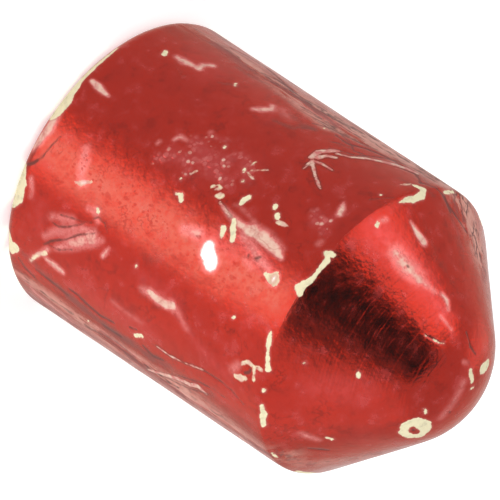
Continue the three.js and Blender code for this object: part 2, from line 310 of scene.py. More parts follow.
# Small pale marks where the lacquer is lifted but not lost.
PALE_CHIPS = [
    [(37, 40.6, 0.26), (35.1, 41.4, 0.22), (35.5, 42.5, 0.22), (40.4, 42.8, 0.2)],
    [(43.8, 40, 0.3), (43, 40.8, 0.5), (41.8, 41.5, 0.28)],
    [(34.8, 43, 0.24), (35, 43.6, 0.18)],
    [(-57.2, 42.3, 0.14), (-61, 42.7, 0.2)],
    [(-10.4, 21.9, 0.14), (-12.6, 22.3, 0.1)],
    [(-22.5, 27.6, 0.08), (-21.5, 29.2, 0.08)],
    [(-23.8, 27.9, 0.08), (-25.4, 28.6, 0.14), (-28, 29.8, 0.06)],
    [(-24.5, 27.3, 0.07), (-28.2, 27.5, 0.1)],
    [(-10.8, 25.4, 0.09), (-11.8, 25.6, 0.09), (-10.9, 26, 0.08)],
    [(-12.6, 26.1, 0.09), (-12.5, 26.5, 0.08), (-11.6, 26.3, 0.09)],
    [(-9.2, 26.7, 0.11), (-10.5, 27, 0.1), (-10.5, 27.6, 0.1), (-9.1, 27.3, 0.11), (-9.2, 26.7, 0.11)],
    [(-21.4, 22.7, 0.08), (-21, 22.7, 0.08)],
    [(-13.6, 35.9, 0.3), (-14.2, 37.3, 0.12)],
    [(14.4, 8.9, 0.18), (13.8, 9.5, 0.38), (12.4, 10.1, 0.32), (11.2, 10.8, 0.1)],
    [(45.4, 7.6, 0.28), (48.2, 6.4, 0.26), (53.4, 5.1, 0.16)],
]

# Wrinkles that stand up out of the lacquer.
CREASES = [
    [(-42.2, 31.9, 0.3), (-46.2, 31.7, 0.36), (-49, 32.2, 0.34), (-51.5, 32.6, 0.32), (-53.2, 33.1, 0.18)],
    [(-43.8, 32.5, 0.3), (-47.2, 32.9, 0.28), (-49.2, 33.9, 0.18)],
    [(-36.2, 32.7, 0.08), (-39, 32.5, 0.14), (-41.4, 32.4, 0.22)],
    [(-41, 32.6, 0.21), (-38, 33.8, 0.2), (-35.2, 35.2, 0.2), (-33.1, 36.6, 0.15)],
    [(-41.8, 32.8, 0.18), (-42.6, 33.9, 0.2), (-42.8, 35.4, 0.11)],
    [(-51.2, 33.3, 0.17), (-53.8, 34.8, 0.17), (-58, 35.7, 0.21), (-62.8, 37.1, 0.25), (-67, 38.3, 0.34)],
    [(-67, 38.3, 0.34), (-70.2, 39.5, 0.38), (-71.8, 40.6, 0.22)],
    [(73.2, 24, 0.2), (68.2, 27.3, 0.26), (64.2, 30, 0.32), (62.8, 32.2, 0.32), (60.6, 33.6, 0.32)],
    [(60.6, 33.6, 0.32), (61.8, 34.9, 0.2)],
    [(53.8, 26.7, 0.1), (54.2, 29.1, 0.11), (52.8, 31.5, 0.11), (50.3, 34.6, 0.08)],
    [(-5.6, 30, 0.16), (-6.6, 28.9, 0.2), (-8, 27.6, 0.12)],
]

# Fine dark cracks and folds.
CRACKS = [
    [(-53.5, 33, 0.06), (-57, 34.8, 0.08), (-65, 36.2, 0.12), (-71.5, 37.4, 0.15), (-74.5, 38.6, 0.14)],
    [(-74.5, 38.6, 0.14), (-77, 40.2, 0.14), (-83, 40.9, 0.12), (-89, 42.3, 0.1)],
    [(-67.6, 39.2, 0.1), (-70.4, 40.8, 0.14), (-67.4, 42.4, 0.12), (-65.6, 42.9, 0.16)],
    [(-66, 42.6, 0.1), (-68.8, 43.6, 0.12), (-73.2, 44.7, 0.12), (-75.2, 45.9, 0.08)],
    [(-62.8, 26, 0.1), (-64, 28.1, 0.14), (-64.2, 30.5, 0.12), (-66, 32.5, 0.14), (-70, 34.6, 0.1)],
    [(-63.2, 30.5, 0.08), (-62, 32.2, 0.12), (-58.4, 33.9, 0.08), (-60, 34.8, 0.06)],
    [(-55.6, 31, 0.06), (-57.6, 31.9, 0.1), (-58.2, 33, 0.06)],
    [(-40.8, 42.2, 0.08), (-44.2, 43, 0.08), (-49, 43.9, 0.06)],
    [(32, 7.4, 0.06), (32.2, 8.8, 0.1), (30, 10.2, 0.1), (26.5, 11.8, 0.08), (23.8, 12.7, 0.05)],
    [(42.8, 7, 0.06), (38.8, 8.4, 0.1), (34.8, 10.4, 0.1), (30.5, 12, 0.1), (26.4, 14.2, 0.06)],
    [(27.8, 8.5, 0.05), (26.3, 10.4, 0.07), (25, 12.1, 0.07), (23.6, 13.4, 0.04)],
    [(41.4, 8, 0.04), (40.6, 9.6, 0.06), (37.2, 11.6, 0.05)],
    [(54.6, 11.6, 0.1), (55, 13.3, 0.2), (56.8, 15, 0.22), (57.8, 17, 0.18), (56.8, 19.3, 0.12)],
    [(56.2, 6, 0.1), (57, 7.7, 0.18), (57.7, 9.8, 0.18), (58.5, 11.5, 0.1)],
    [(56.2, 2.9, 0.1), (59.5, 3.8, 0.18), (61.3, 5.5, 0.14)],
    [(71, 25.9, 0.07), (68.6, 29, 0.1), (66.4, 31.6, 0.1), (62.8, 34, 0.1), (61, 35.6, 0.06)],
    [(64.2, 28.7, 0.07), (61.3, 31, 0.1), (57.8, 34, 0.12), (56.4, 36.4, 0.1), (57, 38.2, 0.06)],
    [(58.6, 24.2, 0.14), (60.8, 25.8, 0.24), (59.2, 27.8, 0.14)],
    [(62, 17.2, 0.14), (62.4, 18.6, 0.26), (62, 20.4, 0.22)],
    [(53.6, 22.2, 0.14), (52.4, 23.3, 0.1)],
    [(50.3, 34.8, 0.06), (50, 37.3, 0.09), (51, 39.3, 0.11), (53.8, 41.4, 0.07)],
    [(19.6, 0.7, 0.2), (18.6, 1.4, 0.16), (17, 2.1, 0.16), (15.2, 2.5, 0.08)],
    [(3.6, 3.7, 0.04), (9, 3.2, 0.07), (14.2, 2.8, 0.1)],
    [(1.8, 35.3, 0.12), (2.6, 35.4, 0.12)],
    [(0.2, 36.8, 0.14), (1.4, 36.3, 0.16), (2, 36.8, 0.12)],
    [(23.4, 12.9, 0.06), (20.4, 13.8, 0.07), (21, 15, 0.07), (23.4, 15.8, 0.05)],
    [(40.2, 41.2, 0.16), (38.6, 41.9, 0.2), (37.2, 42, 0.12)],
    [(-75.5, 7.9, 0.1), (-79, 9.9, 0.16), (-81, 12.3, 0.16), (-75.5, 17.3, 0.2), (-70.8, 21.5, 0.12)],
    [(-71, 14.5, 0.1), (-74.5, 16.6, 0.18), (-71.8, 20, 0.16), (-72.5, 22.7, 0.1)],
    [(-60.8, 30.1, 0.1), (-60.3, 32.3, 0.16), (-64.8, 34, 0.2), (-69.2, 36.5, 0.2), (-70.2, 38.8, 0.16)],
    [(-75.2, 39.1, 0.16), (-76.5, 42.1, 0.22), (-74.5, 45, 0.22), (-76, 46.5, 0.2)],
    [(-58.8, 26.8, 0.1), (-62.8, 28.4, 0.16), (-64, 30.4, 0.12)],
]

NOSE_CRACKS = [
    [(16.3, -3.6, 0.12), (15.7, -2.8, 0.2), (15.1, -2, 0.14)],
    [(7.3, -1.9, 0.12), (7.35, -1.6, 0.14)],
    [(3, -0.5, 0.12), (3.1, -0.4, 0.12)],
    [(-9, -11.7, 0.08), (-8.9, -11.6, 0.08)],
    [(-6.2, -4.2, 0.08), (-5, -3.2, 0.12), (-4.6, -1.9, 0.08)],
    [(-18.3, -5.2, 0.16), (-17.4, -3.5, 0.2), (-16.4, -1, 0.16)],
]

# Clouded lacquer, and on the cone a painted highlight, as (strength, softness in mm, dabs).
HAZE = [
    (0.75, 0.35, [(-7.2, 28.5, 0.2), (-6, 30.1, 0.42), (-5.2, 31.8, 0.54), (-5.6, 33.6, 0.6)]),
    (0.8, 0.3, [(-5.6, 33.6, 0.62), (-5.6, 35.6, 0.74), (-4.9, 37.4, 0.68), (-3.6, 39.3, 0.36)]),
    (0.45, 0.4, [(-8.2, 33.4, 0.4), (-8, 36.2, 0.58), (-6.2, 38.6, 0.5)]),
    (0.55, 0.5, [(-2.4, 32.8, 0.34), (-1.4, 34.6, 0.6), (0.8, 36.6, 0.64), (2.5, 38.6, 0.44)]),
    (0.4, 0.4, [(-10, 29.5, 0.16), (-10.2, 31, 0.28), (-9.2, 33, 0.2)]),
    (0.55, 0.5, [(34.8, 23.2, 0.36), (34, 24.6, 0.66), (34.5, 26.3, 0.7), (33.4, 28.2, 0.62)]),
    (0.9, 0.3, [(33.6, 24.6, 0.26), (34.5, 25.8, 0.36), (34.6, 27.4, 0.38), (32.8, 28.4, 0.26)]),
    (0.45, 0.6, [(33.4, 28.2, 0.5), (34.6, 29.6, 0.44), (38, 31.2, 0.3)]),
    (0.7, 0.35, [(-47.4, 7.4, 0.46), (-47.4, 8.6, 0.66), (-48.2, 9.7, 0.5), (-48.6, 10.9, 0.2)]),
    (0.75, 0.35, [(-54.4, 11.2, 0.46), (-51.8, 10.5, 0.42), (-48.4, 10.7, 0.4)]),
    (0.7, 0.35, [(-54.2, 21.4, 0.3), (-51.8, 22, 0.44), (-48.6, 21.3, 0.6), (-46.6, 20.7, 0.36)]),
    (0.35, 0.8, [(-55, 23, 0.8), (-53, 24.6, 0.6)]),
    (0.85, 0.2, [(-18.9, 2.4, 0.3), (-18.4, 3.6, 0.52), (-17.8, 4.8, 0.38), (-17.5, 5.8, 0.14)]),
    (0.5, 0.5, [(30.6, 7.3, 0.4), (28.8, 8.7, 0.56), (26.8, 10.5, 0.52)]),
    (0.5, 0.5, [(39.2, 7, 0.4), (35, 8.4, 0.58), (31.5, 10.3, 0.68), (27.6, 12.5, 0.66), (25.8, 14, 0.36)]),
    (0.58, 0.5, [
        (41, 9, 0.36), (36.8, 10.7, 0.76), (32.5, 12.6, 0.92), (28.5, 14.5, 0.9), (27.2, 15.5, 0.36),
    ]),
    (0.6, 0.4, [(43.5, 7.8, 0.44), (48, 6.5, 0.34), (53.6, 5, 0.2)]),
    (0.75, 0.35, [(48, 7.8, 0.36), (48.3, 9.2, 0.54), (48.8, 10.5, 0.44)]),
    (0.7, 0.3, [(32.3, 16.3, 0.3), (30, 16.6, 0.34), (28.2, 16.9, 0.14)]),
    (0.6, 0.35, [(22.4, 2.6, 0.3), (25.8, 3.3, 0.34), (28.2, 3.4, 0.28)]),
    (0.7, 0.4, [(-0.6, 1.4, 0.8), (3.8, 1.5, 0.9), (8.2, 1.2, 0.9), (12.2, 0.8, 0.7)]),
    (0.5, 0.6, [(2.4, 7.8, 0.5), (6, 8.4, 0.7), (11, 8.9, 0.5)]),
    (0.5, 0.4, [(19.8, 12, 0.34), (19.2, 13.2, 0.5), (21.8, 14, 0.34)]),
    (0.55, 0.6, [(42, 39.4, 0.6), (38.6, 40, 0.4)]),
    (0.7, 0.3, [(-17.6, 16.9, 0.22), (-19.8, 17.2, 0.3), (-20, 18.2, 0.24)]),
    (0.6, 0.3, [(-14, 15.5, 0.26), (-13.2, 15.5, 0.26)]),
    (0.45, 0.3, [(-27.8, 19.8, 0.26), (-27.2, 19.8, 0.26)]),
    (0.75, 0.3, [(-33.4, 40.4, 0.2), (-30.6, 41, 0.5), (-28.8, 41.3, 0.5)]),
    (0.45, 0.4, [(-15.8, 42.2, 0.44), (-15.2, 42.2, 0.44)]),
    (0.6, 0.6, [(5.4, 27.6, 0.7), (6.8, 25.6, 0.54)]),
    (0.4, 0.5, [(4, 35.2, 0.34), (5.2, 36.5, 0.3)]),
    (0.35, 0.6, [(47, 19.1, 0.34), (48, 21.2, 0.34), (47.8, 23.9, 0.34)]),
    (0.55, 0.45, [(67, 15.7, 0.4), (68.8, 19.7, 0.44), (69.2, 24.1, 0.34)]),
    (0.6, 0.4, [(74.8, 27.6, 0.3), (74.2, 31.8, 0.34), (72.8, 35.4, 0.28)]),
    (0.6, 0.6, [(67, 3.4, 0.5), (73, 4.7, 0.6), (75, 7.3, 0.6), (78, 10, 0.4)]),
    (0.45, 1, [(-65.5, 22, 0.7), (-68, 27, 0.9), (-72, 30, 0.9)]),
]

NOSE_HAZE_AND_HIGHLIGHT = [
    # The first two rows paint the cone's broad pink-white highlight.
    (0.62, 1.2, [(-9.5, -13.1, 0.7), (-8.8, -11.9, 0.9), (-8.5, -10.4, 0.6)]),
    (0.5, 0.9, [(-9.3, -13, 0.4), (-8.8, -11.8, 0.6), (-8.6, -10.8, 0.4)]),
    (0.55, 0.4, [(-8.3, -10.2, 0.4), (-8.2, -8.4, 0.24)]),
    (0.85, 0.3, [(-13.6, -11.3, 0.16), (-12.9, -10.5, 0.44), (-12.5, -9.7, 0.6)]),
    (0.75, 0.3, [(-8.4, -7.5, 0.28), (-8.1, -6.9, 0.38), (-7.3, -6.8, 0.2)]),
    (0.55, 0.4, [(-11.8, -14.9, 0.3), (-12.2, -14.4, 0.26)]),
    (0.6, 0.5, [(15.2, -6.9, 0.34), (15, -5.8, 0.5), (14.7, -4.8, 0.28)]),
    (0.5, 0.6, [(-0.8, -2, 0.5), (1.7, -1.4, 0.5), (4.1, -0.9, 0.4)]),
    (0.45, 0.3, [(-3.2, -2.8, 0.26), (-3, -3.6, 0.3)]),
    (0.6, 0.3, [(-6.1, -7.7, 0.16), (-5.5, -6.4, 0.18)]),
]

# Thin pink lacquer, and on the cone part of a painted highlight, as (strength, softness in mm, dabs).
BLUSH = [
    (0.45, 2, [(-22, 27, 1.8), (-17, 22.5, 2.2), (-13, 19, 1.6)]),
    (0.4, 1, [(-22.5, 40.6, 1.2)]),
    (0.6, 0.9, [
        (34.5, 29.2, 0.3), (37.8, 31.2, 0.4), (41.5, 33.5, 0.4), (44.5, 36.4, 0.4), (46.5, 39.2, 0.3),
    ]),
    (0.55, 1, [(31, 23, 0.5), (31.5, 26, 0.6), (30.4, 29, 0.3)]),
    (0.95, 0.8, [(-1.6, 33, 0.6), (0.4, 36.4, 1), (2.4, 38.8, 0.7)]),
    (0.7, 0.8, [(6, 28, 0.8), (3, 30, 0.6), (5.6, 33.6, 0.5)]),
    (0.45, 1.4, [(-53, 12.6, 0.9), (-50, 9, 0.8), (-46.4, 12.4, 0.6)]),
    (0.4, 1.2, [(-52, 21.6, 1), (-47.4, 23, 0.8)]),
    (0.5, 2, [(60.6, 37, 0.9), (63.2, 40.6, 0.8)]),
    (0.45, 1.6, [(49, 13, 0.7), (51, 18, 0.8), (50, 25, 0.8)]),
    (0.5, 2.4, [(-64, 42, 0.6), (-62, 20, 0.8), (-60, 8, 1)]),
    (0.45, 1.2, [(30, 5.4, 0.6), (37, 5.8, 0.5)]),
]

NOSE_BLUSH_AND_HIGHLIGHT = [
    # The first row paints the pink of the cone's highlight.
    (0.8, 1.6, [(-10.4, -15.2, 1.2), (-9.6, -12.6, 1.6), (-8.4, -9.8, 1.2), (-6.6, -7.4, 0.6)]),
    (0.5, 1.6, [(9.6, -12.4, 1.6), (7, -9.8, 1.8)]),
    (0.5, 1, [(-2.4, -2.2, 0.6), (1.8, -1.5, 0.7), (4.6, -1, 0.6)]),
    (0.35, 2, [(11.6, -2.6, 0.8), (8.8, 4.6, 1.2)]),
]

# Painted highlight: a paler stripe down the barrel where the key panel shines, as (strength, softness in mm,
# dabs).
PAINTED_HIGHLIGHT_STRIPE = [
    (1, 2, [(9, 3, 1.6), (10, 12, 1.9), (9, 22, 2.1), (9, 32, 2.2), (9, 41, 1.9)]),
    (0.5, 1.2, [(16, 6, 0.8), (18, 20, 0.8), (17, 34, 0.9)]),
]

# Dark, dirty places, as (strength, softness in mm, dabs).
TARNISH = [
    (0.75, 0.9, [(52, 3.4, 0.3), (56, 8, 0.6), (60, 13, 0.8), (62.4, 19, 0.9), (62, 25, 0.6)]),
    (0.55, 0.9, [(62, 25, 0.6), (60.6, 31, 0.4), (58.6, 36, 0.3)]),
    (0.7, 0.7, [(-76, 41.6, 0.5), (-71, 41, 0.4), (-69, 43.4, 0.36)]),
    (0.7, 0.6, [(-76, 37.4, 0.4), (-71, 36.6, 0.3)]),
    (0.6, 0.7, [(-56, 24, 0.4), (-54.6, 26.2, 0.4), (-56, 28, 0.24)]),
    (0.5, 0.8, [(-47.6, 8.4, 0.2), (-43.6, 8.6, 0.36), (-41, 10.6, 0.3)]),
    (0.6, 0.6, [(62.2, 17.4, 0.4), (62.6, 20.4, 0.4), (60, 23, 0.36)]),
    (0.55, 0.7, [(58.4, 11.4, 0.4), (59.4, 14.4, 0.44)]),
    (0.5, 0.7, [(63, 25.4, 0.5), (60, 28.6, 0.4)]),
    (0.45, 0.8, [(65, 34.4, 0.4), (60, 36.4, 0.3)]),
    (0.35, 0.6, [(23.2, 21.8, 0.6), (22.4, 23.6, 0.9), (20.8, 24.4, 0.6)]),
    (0.6, 0.5, [(18.8, 1, 0.5), (17, 2.2, 0.4), (13, 2.8, 0.2)]),
    (0.4, 0.6, [(9.8, 26.4, 0.3), (5.2, 32, 0.3), (4.4, 33, 0.24)]),
    (0.35, 0.6, [(44.6, 4.6, 0.5), (42, 6, 0.3)]),
    (0.45, 0.8, [(-46, 44.2, 0.36), (-40, 43.6, 0.26)]),
    (0.65, 0.5, [(-48.5, 14.3, 0.2), (-50.8, 15.3, 0.3), (-52.2, 16.1, 0.2)]),
    (0.6, 0.5, [(-62.5, 12.7, 0.3), (-62.8, 15.5, 0.4), (-66.2, 18.5, 0.3)]),
    (0.6, 0.5, [(-47.5, 24.1, 0.4), (-49.5, 26.2, 0.55), (-56.2, 27.8, 0.4)]),
    (0.55, 0.5, [(-59.8, 41.2, 0.3), (-61.8, 43.5, 0.4), (-68.2, 45, 0.3)]),
]

NOSE_TARNISH = [
    (0.5, 0.9, [(6.6, -6.7, 0.6), (5.6, -7.2, 0.4)]),
    (0.6, 0.5, [(16.1, -3.4, 0.24), (15.2, -2.2, 0.28)]),
    (0.45, 0.9, [(-14.2, -9.3, 0.5), (-11.9, -8.1, 0.8), (-9.6, -5.1, 0.5)]),
    (0.5, 0.7, [(-17.6, -5.2, 0.4), (-16, -3.4, 0.44), (-13.2, -3.2, 0.3)]),
    (0.3, 1.4, [(-16.4, -6.4, 0.6), (-13.6, -1.2, 0.8)]),
]

# Streaks of grime along the axis, down the sides, with a painted pale reflection between them, as (strength,
# softness in mm, dabs).
GRIME_AND_REFLECTION = [
    (1, 1.6, [(-68, 2, 0.4), (-71, 9, 0.8), (-70, 16, 1.2), (-72, 24, 1.8), (-77, 32, 2.2)]),
    (1, 1.6, [(-77, 32, 2.2), (-80, 38, 2.6), (-84, 43.6, 2.4), (-92, 46, 2.4), (-98, 49, 2.6)]),
    (0.9, 2, [(-88, 4, 2.4), (-92, 16, 3), (-94, 28, 3), (-100, 40, 3)]),
    (1, 1, [(66, 2, 0.5), (68, 9, 1), (71, 16, 1.4), (72, 23, 1.6), (73, 30, 1.8)]),
    (0.9, 1.8, [(70, 30, 1.8), (74, 37, 1.8), (78, 43, 1.6), (82, 45.6, 1.2)]),
    (0.9, 2, [(86, 3, 2.6), (88, 14, 3), (90, 26, 3), (96, 38, 2.8)]),
    (0.8, 0.8, [(-73.2, 9, 0.5), (-70.5, 15.1, 0.8), (-66.5, 20.1, 0.9), (-64.2, 24.6, 1), (-63.5, 27.9, 1)]),
    (0.75, 0.8, [(-63.5, 27.9, 1), (-67.8, 31.2, 0.9), (-70.5, 34.2, 0.8), (-75.8, 36.6, 0.6)]),
]

NOSE_GRIME_AND_REFLECTION = [
    (0.55, 1.2, [(18.4, 0.6, 0.5), (16.4, 1.8, 0.8), (13.4, 3, 0.8), (10.6, 3.6, 0.6)]),
    (0.45, 1.4, [(-17.4, 1.6, 0.8), (-13.6, 2.6, 1.2), (-9.6, 3.4, 1), (-6.4, 2.6, 0.6)]),
    (0.75, 0.7, [(-18.3, -1.5, 0.5), (-17.4, 1.7, 0.6), (-16.1, 2.8, 0.5)]),
]

# Painted highlights: spots of near-white bare metal set where the lamp's glints fall in the lacquer.
PAINTED_GLINTS = [
    [(7.4, 29.9, 0.74), (9, 30.2, 0.96), (11.4, 31.1, 0.94)],
    [(13.6, 9.5, 0.16), (12.6, 10, 0.14)],
    [(3.4, 40, 0.14), (4.8, 40.1, 0.16)],
]

# Lacquer full of dark specks, as (strength, softness in mm, dabs).
SPECKS = [
    (1, 1.6, [(6, 40, 1.6), (10, 33, 2.6), (10, 20, 2.8), (8, 8, 2.6)]),
    (0.8, 1.2, [(-3, 36, 0.4), (1, 24, 1), (0, 14, 0.8)]),
    (0.6, 1.2, [(32.6, 12.6, 0.7), (48, 9, 0.5)]),
]

NOSE_SPECKS = [
    (0.45, 1.2, [(-10.4, -14.8, 1), (-9.4, -12.2, 1.4), (-8.6, -9.6, 0.8)]),
]

# Crinkled lacquer, with painted sparkles on some lumps, as (strength, softness in mm, dabs).
CRINKLES = [
    (0.9, 0.7, [(-8.6, 16.6, 0.6), (-12.2, 17.9, 0.9), (-14, 20.4, 0.7), (-9.6, 21.6, 0.4)]),
    (1, 0.7, [(-21.2, 19.4, 1), (-18.6, 22, 1.2), (-16.4, 24.4, 1.2), (-14.6, 26.6, 0.7)]),
    (0.9, 0.7, [(-21.5, 24.2, 0.8), (-26.5, 25.4, 0.7), (-24, 27.6, 0.6), (-20.6, 28.6, 0.5)]),
    (0.8, 0.5, [(-26.6, 20.4, 0.5), (-29, 22.6, 0.4)]),
    (1, 0.6, [(-24.2, 41, 0.6), (-21, 39.6, 0.7), (-24.6, 38.6, 0.5), (-19.6, 41.6, 0.5)]),
    (0.7, 0.4, [(-34.8, 39.4, 0.3), (-35.6, 40.2, 0.2)]),
]

# ---- Marks on the side turned away, made by a seeded draw ----

BACK_SEED = 23
BACK_ANGLES = (94, 266)


def scattered(count, heights, radius, length, seed):
    """Short strokes at random on the back of the barrel."""
    draw = random.Random(seed)
    strokes = []
    for _ in range(count):
        angle = draw.uniform(*BACK_ANGLES)
        height = draw.uniform(*heights)
        size = radius * draw.uniform(0.5, 1.4)
        reach = length * draw.uniform(0.3, 1.5)
        lean = draw.uniform(0, 2 * math.pi)
        stroke = []
        for _step in range(3):
            stroke.append((angle, height, size * draw.uniform(0.6, 1.2)))
            lean += draw.uniform(-0.9, 0.9)
            angle += math.degrees(reach * MM / BARREL_RADIUS) * math.cos(lean)
            height = min(max(height + reach * math.sin(lean), heights[0]), heights[1])
        strokes.append(stroke)
    return strokes


def round_the_back(count, height, radius, seed):
    """Torn stretches that follow the rim or the shoulder round the back."""
    draw = random.Random(seed)
    first, last = BACK_ANGLES
    step = (last - first) / count
    strokes = []
    for index in range(count):
        start = first + (index + draw.uniform(0, 0.6)) * step
        end = start + draw.uniform(0.1, 0.8) * step
        middle = (start + end) / 2
        strokes.append([
            (start, height + draw.uniform(-0.2, 0.2), radius * draw.uniform(0.5, 0.9)),
            (middle, height + draw.uniform(-0.3, 0.3), radius * draw.uniform(0.9, 1.2)),
            (end, height + draw.uniform(-0.2, 0.2), radius * draw.uniform(0.4, 0.9)),
        ])
    return strokes


def clouds_from(strokes, strength, softness):
    return [(strength, softness, stroke) for stroke in strokes]


# ---- Outline of the holder ----

Outline = namedtuple("Outline", "barrel nose cone_start tip_centre")


def arc(centre_radius, centre_height, radius, start, end, steps):
    """Points (radius, height) on an arc, from start to end in radians above the outward direction."""
    points = []
    for step in range(steps + 1):
        turn = start + (end - start) * step / steps
        points.append((centre_radius + radius * math.cos(turn), centre_height + radius * math.sin(turn)))
    return points


def line(start, end, spacing):
    """Points from start to end, both included, about the spacing apart."""
    steps = max(1, round(math.dist(start, end) / spacing))
    return [
        (start[0] + (end[0] - start[0]) * step / steps, start[1] + (end[1] - start[1]) * step / steps)
        for step in range(steps + 1)
    ]


def outlines(body):
    """The outsides of barrel and nose, as (radius, height) from the tail up."""
    fillet = body.shoulder_fillet
    centre_radius = BARREL_RADIUS - fillet
    centre_height = PARTING - fillet * math.sin(body.cone_angle / 2)
    slope = math.tan(body.cone_angle)
    corner_height = centre_height + fillet * math.tan(body.cone_angle / 2)
    tip_centre = corner_height + BARREL_RADIUS / slope - body.tip_radius / math.sin(body.cone_angle)
    half_gap = body.parting_gap / 2
    below = math.asin((PARTING - half_gap - centre_height) / fillet)
    above = math.asin((PARTING + half_gap - centre_height) / fillet)
    spacing = body.ring_spacing

    def steps(radius, turn):
        return max(2, round(radius * turn / spacing))

    tail = arc(
        BARREL_RADIUS - body.tail_fillet, body.tail_fillet, body.tail_fillet,
        -math.pi / 2, 0, steps(body.tail_fillet, math.pi / 2),
    )
    side = line(tail[-1], (BARREL_RADIUS, centre_height), spacing)
    barrel = tail + side[1:] + arc(centre_radius, centre_height, fillet, 0, below, steps(fillet, below))[1:]
    shoulder = arc(centre_radius, centre_height, fillet, above, body.cone_angle,
                   steps(fillet, body.cone_angle - above))
    tip = arc(0, tip_centre, body.tip_radius, body.cone_angle, math.pi / 2,
              steps(body.tip_radius, math.pi / 2 - body.cone_angle))
    cone = line(shoulder[-1], tip[0], spacing)
    tip[-1] = (0, tip[-1][1])
    return Outline(barrel, shoulder + cone[1:] + tip[1:], shoulder[-1][1], tip_centre)


class Surface:
    """Turns the places of marks into points on the outside of the holder, in millimetres."""

    def __init__(self, outline):
        points = np.array(outline.barrel + outline.nose) / MM
        self.radii, self.heights = points.T
        nose = np.array(outline.nose) / MM
        self.nose_radii, self.nose_heights = nose[::-1].T

    def depth(self, points):
        """How far points lie under the outside, along the axis or towards it."""
        radius, height = np.hypot(points[:, 0], points[:, 1]), points[:, 2]
        sideways = np.interp(height, self.heights, self.radii) - radius
        upwards = np.interp(radius, self.nose_radii, self.nose_heights) - height
        return np.minimum(np.minimum(sideways, upwards), height)

    def on_side(self, angle, height):
        radius = np.interp(height, self.heights, self.radii)
        turn = math.radians(angle)
        return np.array((radius * math.sin(turn), -radius * math.cos(turn), height))

    def on_nose(self, x, y):
        return np.array((x, y, np.interp(math.hypot(x, y), self.nose_radii, self.nose_heights)))


STROKE_STEP = 3.0  # longest straight stretch of a stroke, in millimetres or degrees


def stroke_depth(points, stroke, place):
    """Distance in millimetres from each point to the stroke's edge, negative inside it."""
    spots = []
    for (a0, b0, r0), (a1, b1, r1) in zip(stroke, stroke[1:] or stroke):
        steps = max(1, math.ceil(max(abs(a1 - a0), abs(b1 - b0)) / STROKE_STEP))
        for step in range(steps):
            share = step / steps
            spots.append((place(a0 + (a1 - a0) * share, b0 + (b1 - b0) * share), r0 + (r1 - r0) * share))
    a, b, r = stroke[-1]
    spots.append((place(a, b), r))
    depth = np.full(len(points), np.inf)
    for (start, first), (end, last) in zip(spots, spots[1:]):
        along = end - start
        length = max(float(along @ along), 1e-9)
        share = np.clip((points - start) @ along / length, 0, 1)
        away = np.linalg.norm(points - start - share[:, None] * along, axis=1)
        depth = np.minimum(depth, away - (first + (last - first) * share))
    return depth


FAR = 3.0  # millimetres; distances to marks are cut off here


def edge_distance(points, *groups):
    """Distance to the nearest stroke of all the groups, each given as (strokes, place)."""
    nearest = np.full(len(points), FAR)
    for strokes, place in groups:
        for stroke in strokes:
            nearest = np.minimum(nearest, stroke_depth(points, stroke, place))
    return nearest


def cloud(points, *groups):
    """Strength from 0 to 1 of soft clouds, each given as (strength, softness, stroke)."""
    clear = np.ones(len(points))
    for clouds, place in groups:
        for strength, softness, stroke in clouds:
            share = np.clip(0.5 - stroke_depth(points, stroke, place) / (3 * softness), 0, 1)
            clear *= 1 - strength * share * share * (3 - 2 * share)
    return 1 - clear


# ---- Modelling by hand ----


def deselect():
    if bpy.context.object and bpy.context.object.mode != "OBJECT":
        bpy.ops.object.mode_set(mode="OBJECT")
    bpy.ops.object.select_all(action="DESELECT")


def named(name):
    piece = bpy.context.active_object
    piece.name = name
    piece.data.name = name
    return piece


def turned(name, profile, steps=160):
    """Spins an outline of (radius, height) about the axis. An outline off the axis closes on itself."""
    deselect()
    bpy.ops.mesh.primitive_plane_add(size=MM)
    piece = named(name)
    bpy.ops.object.mode_set(mode="EDIT")
    bpy.ops.mesh.merge(type="CENTER")
    radius, height = profile[0]
    bpy.ops.transform.translate(value=(radius, 0, height))
    closing = [] if profile[0][0] == 0 and profile[-1][0] == 0 else [profile[0]]
    path = list(profile) + closing
    for (r0, z0), (r1, z1) in zip(path, path[1:]):
        bpy.ops.mesh.extrude_region_move(TRANSFORM_OT_translate={"value": (r1 - r0, 0, z1 - z0)})
    bpy.ops.mesh.select_all(action="SELECT")
    bpy.ops.mesh.spin(steps=steps, angle=2 * math.pi, center=(0, 0, 0), axis=(0, 0, 1))
    tidy_mesh()
    bpy.ops.object.mode_set(mode="OBJECT")
    return piece


def tidy_mesh():
    """Merges doubles and turns the faces outwards, in edit mode."""
    bpy.ops.mesh.select_all(action="SELECT")
    bpy.ops.mesh.remove_doubles(threshold=0.002 * MM)
    bpy.ops.mesh.normals_make_consistent(inside=False)


def apply_modifier(piece, kind, name, **settings):
    modifier = piece.modifiers.new(name, kind)
    for key, value in settings.items():
        setattr(modifier, key, value)
    deselect()
    piece.select_set(True)
    bpy.context.view_layer.objects.active = piece
    bpy.ops.object.modifier_apply(modifier=name)


def round_edges(piece, width, segments=2, angle=35):
    apply_modifier(
        piece, "BEVEL", "Round edges", width=width, segments=segments,
        limit_method="ANGLE", angle_limit=math.radians(angle), harden_normals=False,
    )


def cut(piece, cutter):
    apply_modifier(piece, "BOOLEAN", "Cut", operation="DIFFERENCE", solver="EXACT", object=cutter)
    bpy.data.objects.remove(cutter)


def join_solid(piece, other):
    apply_modifier(piece, "BOOLEAN", "Join", operation="UNION", solver="EXACT", object=other)
    bpy.data.objects.remove(other)


def smooth(piece, angle=35):
    deselect()
    piece.select_set(True)
    bpy.context.view_layer.objects.active = piece
    bpy.ops.object.shade_smooth_by_angle(angle=math.radians(angle))


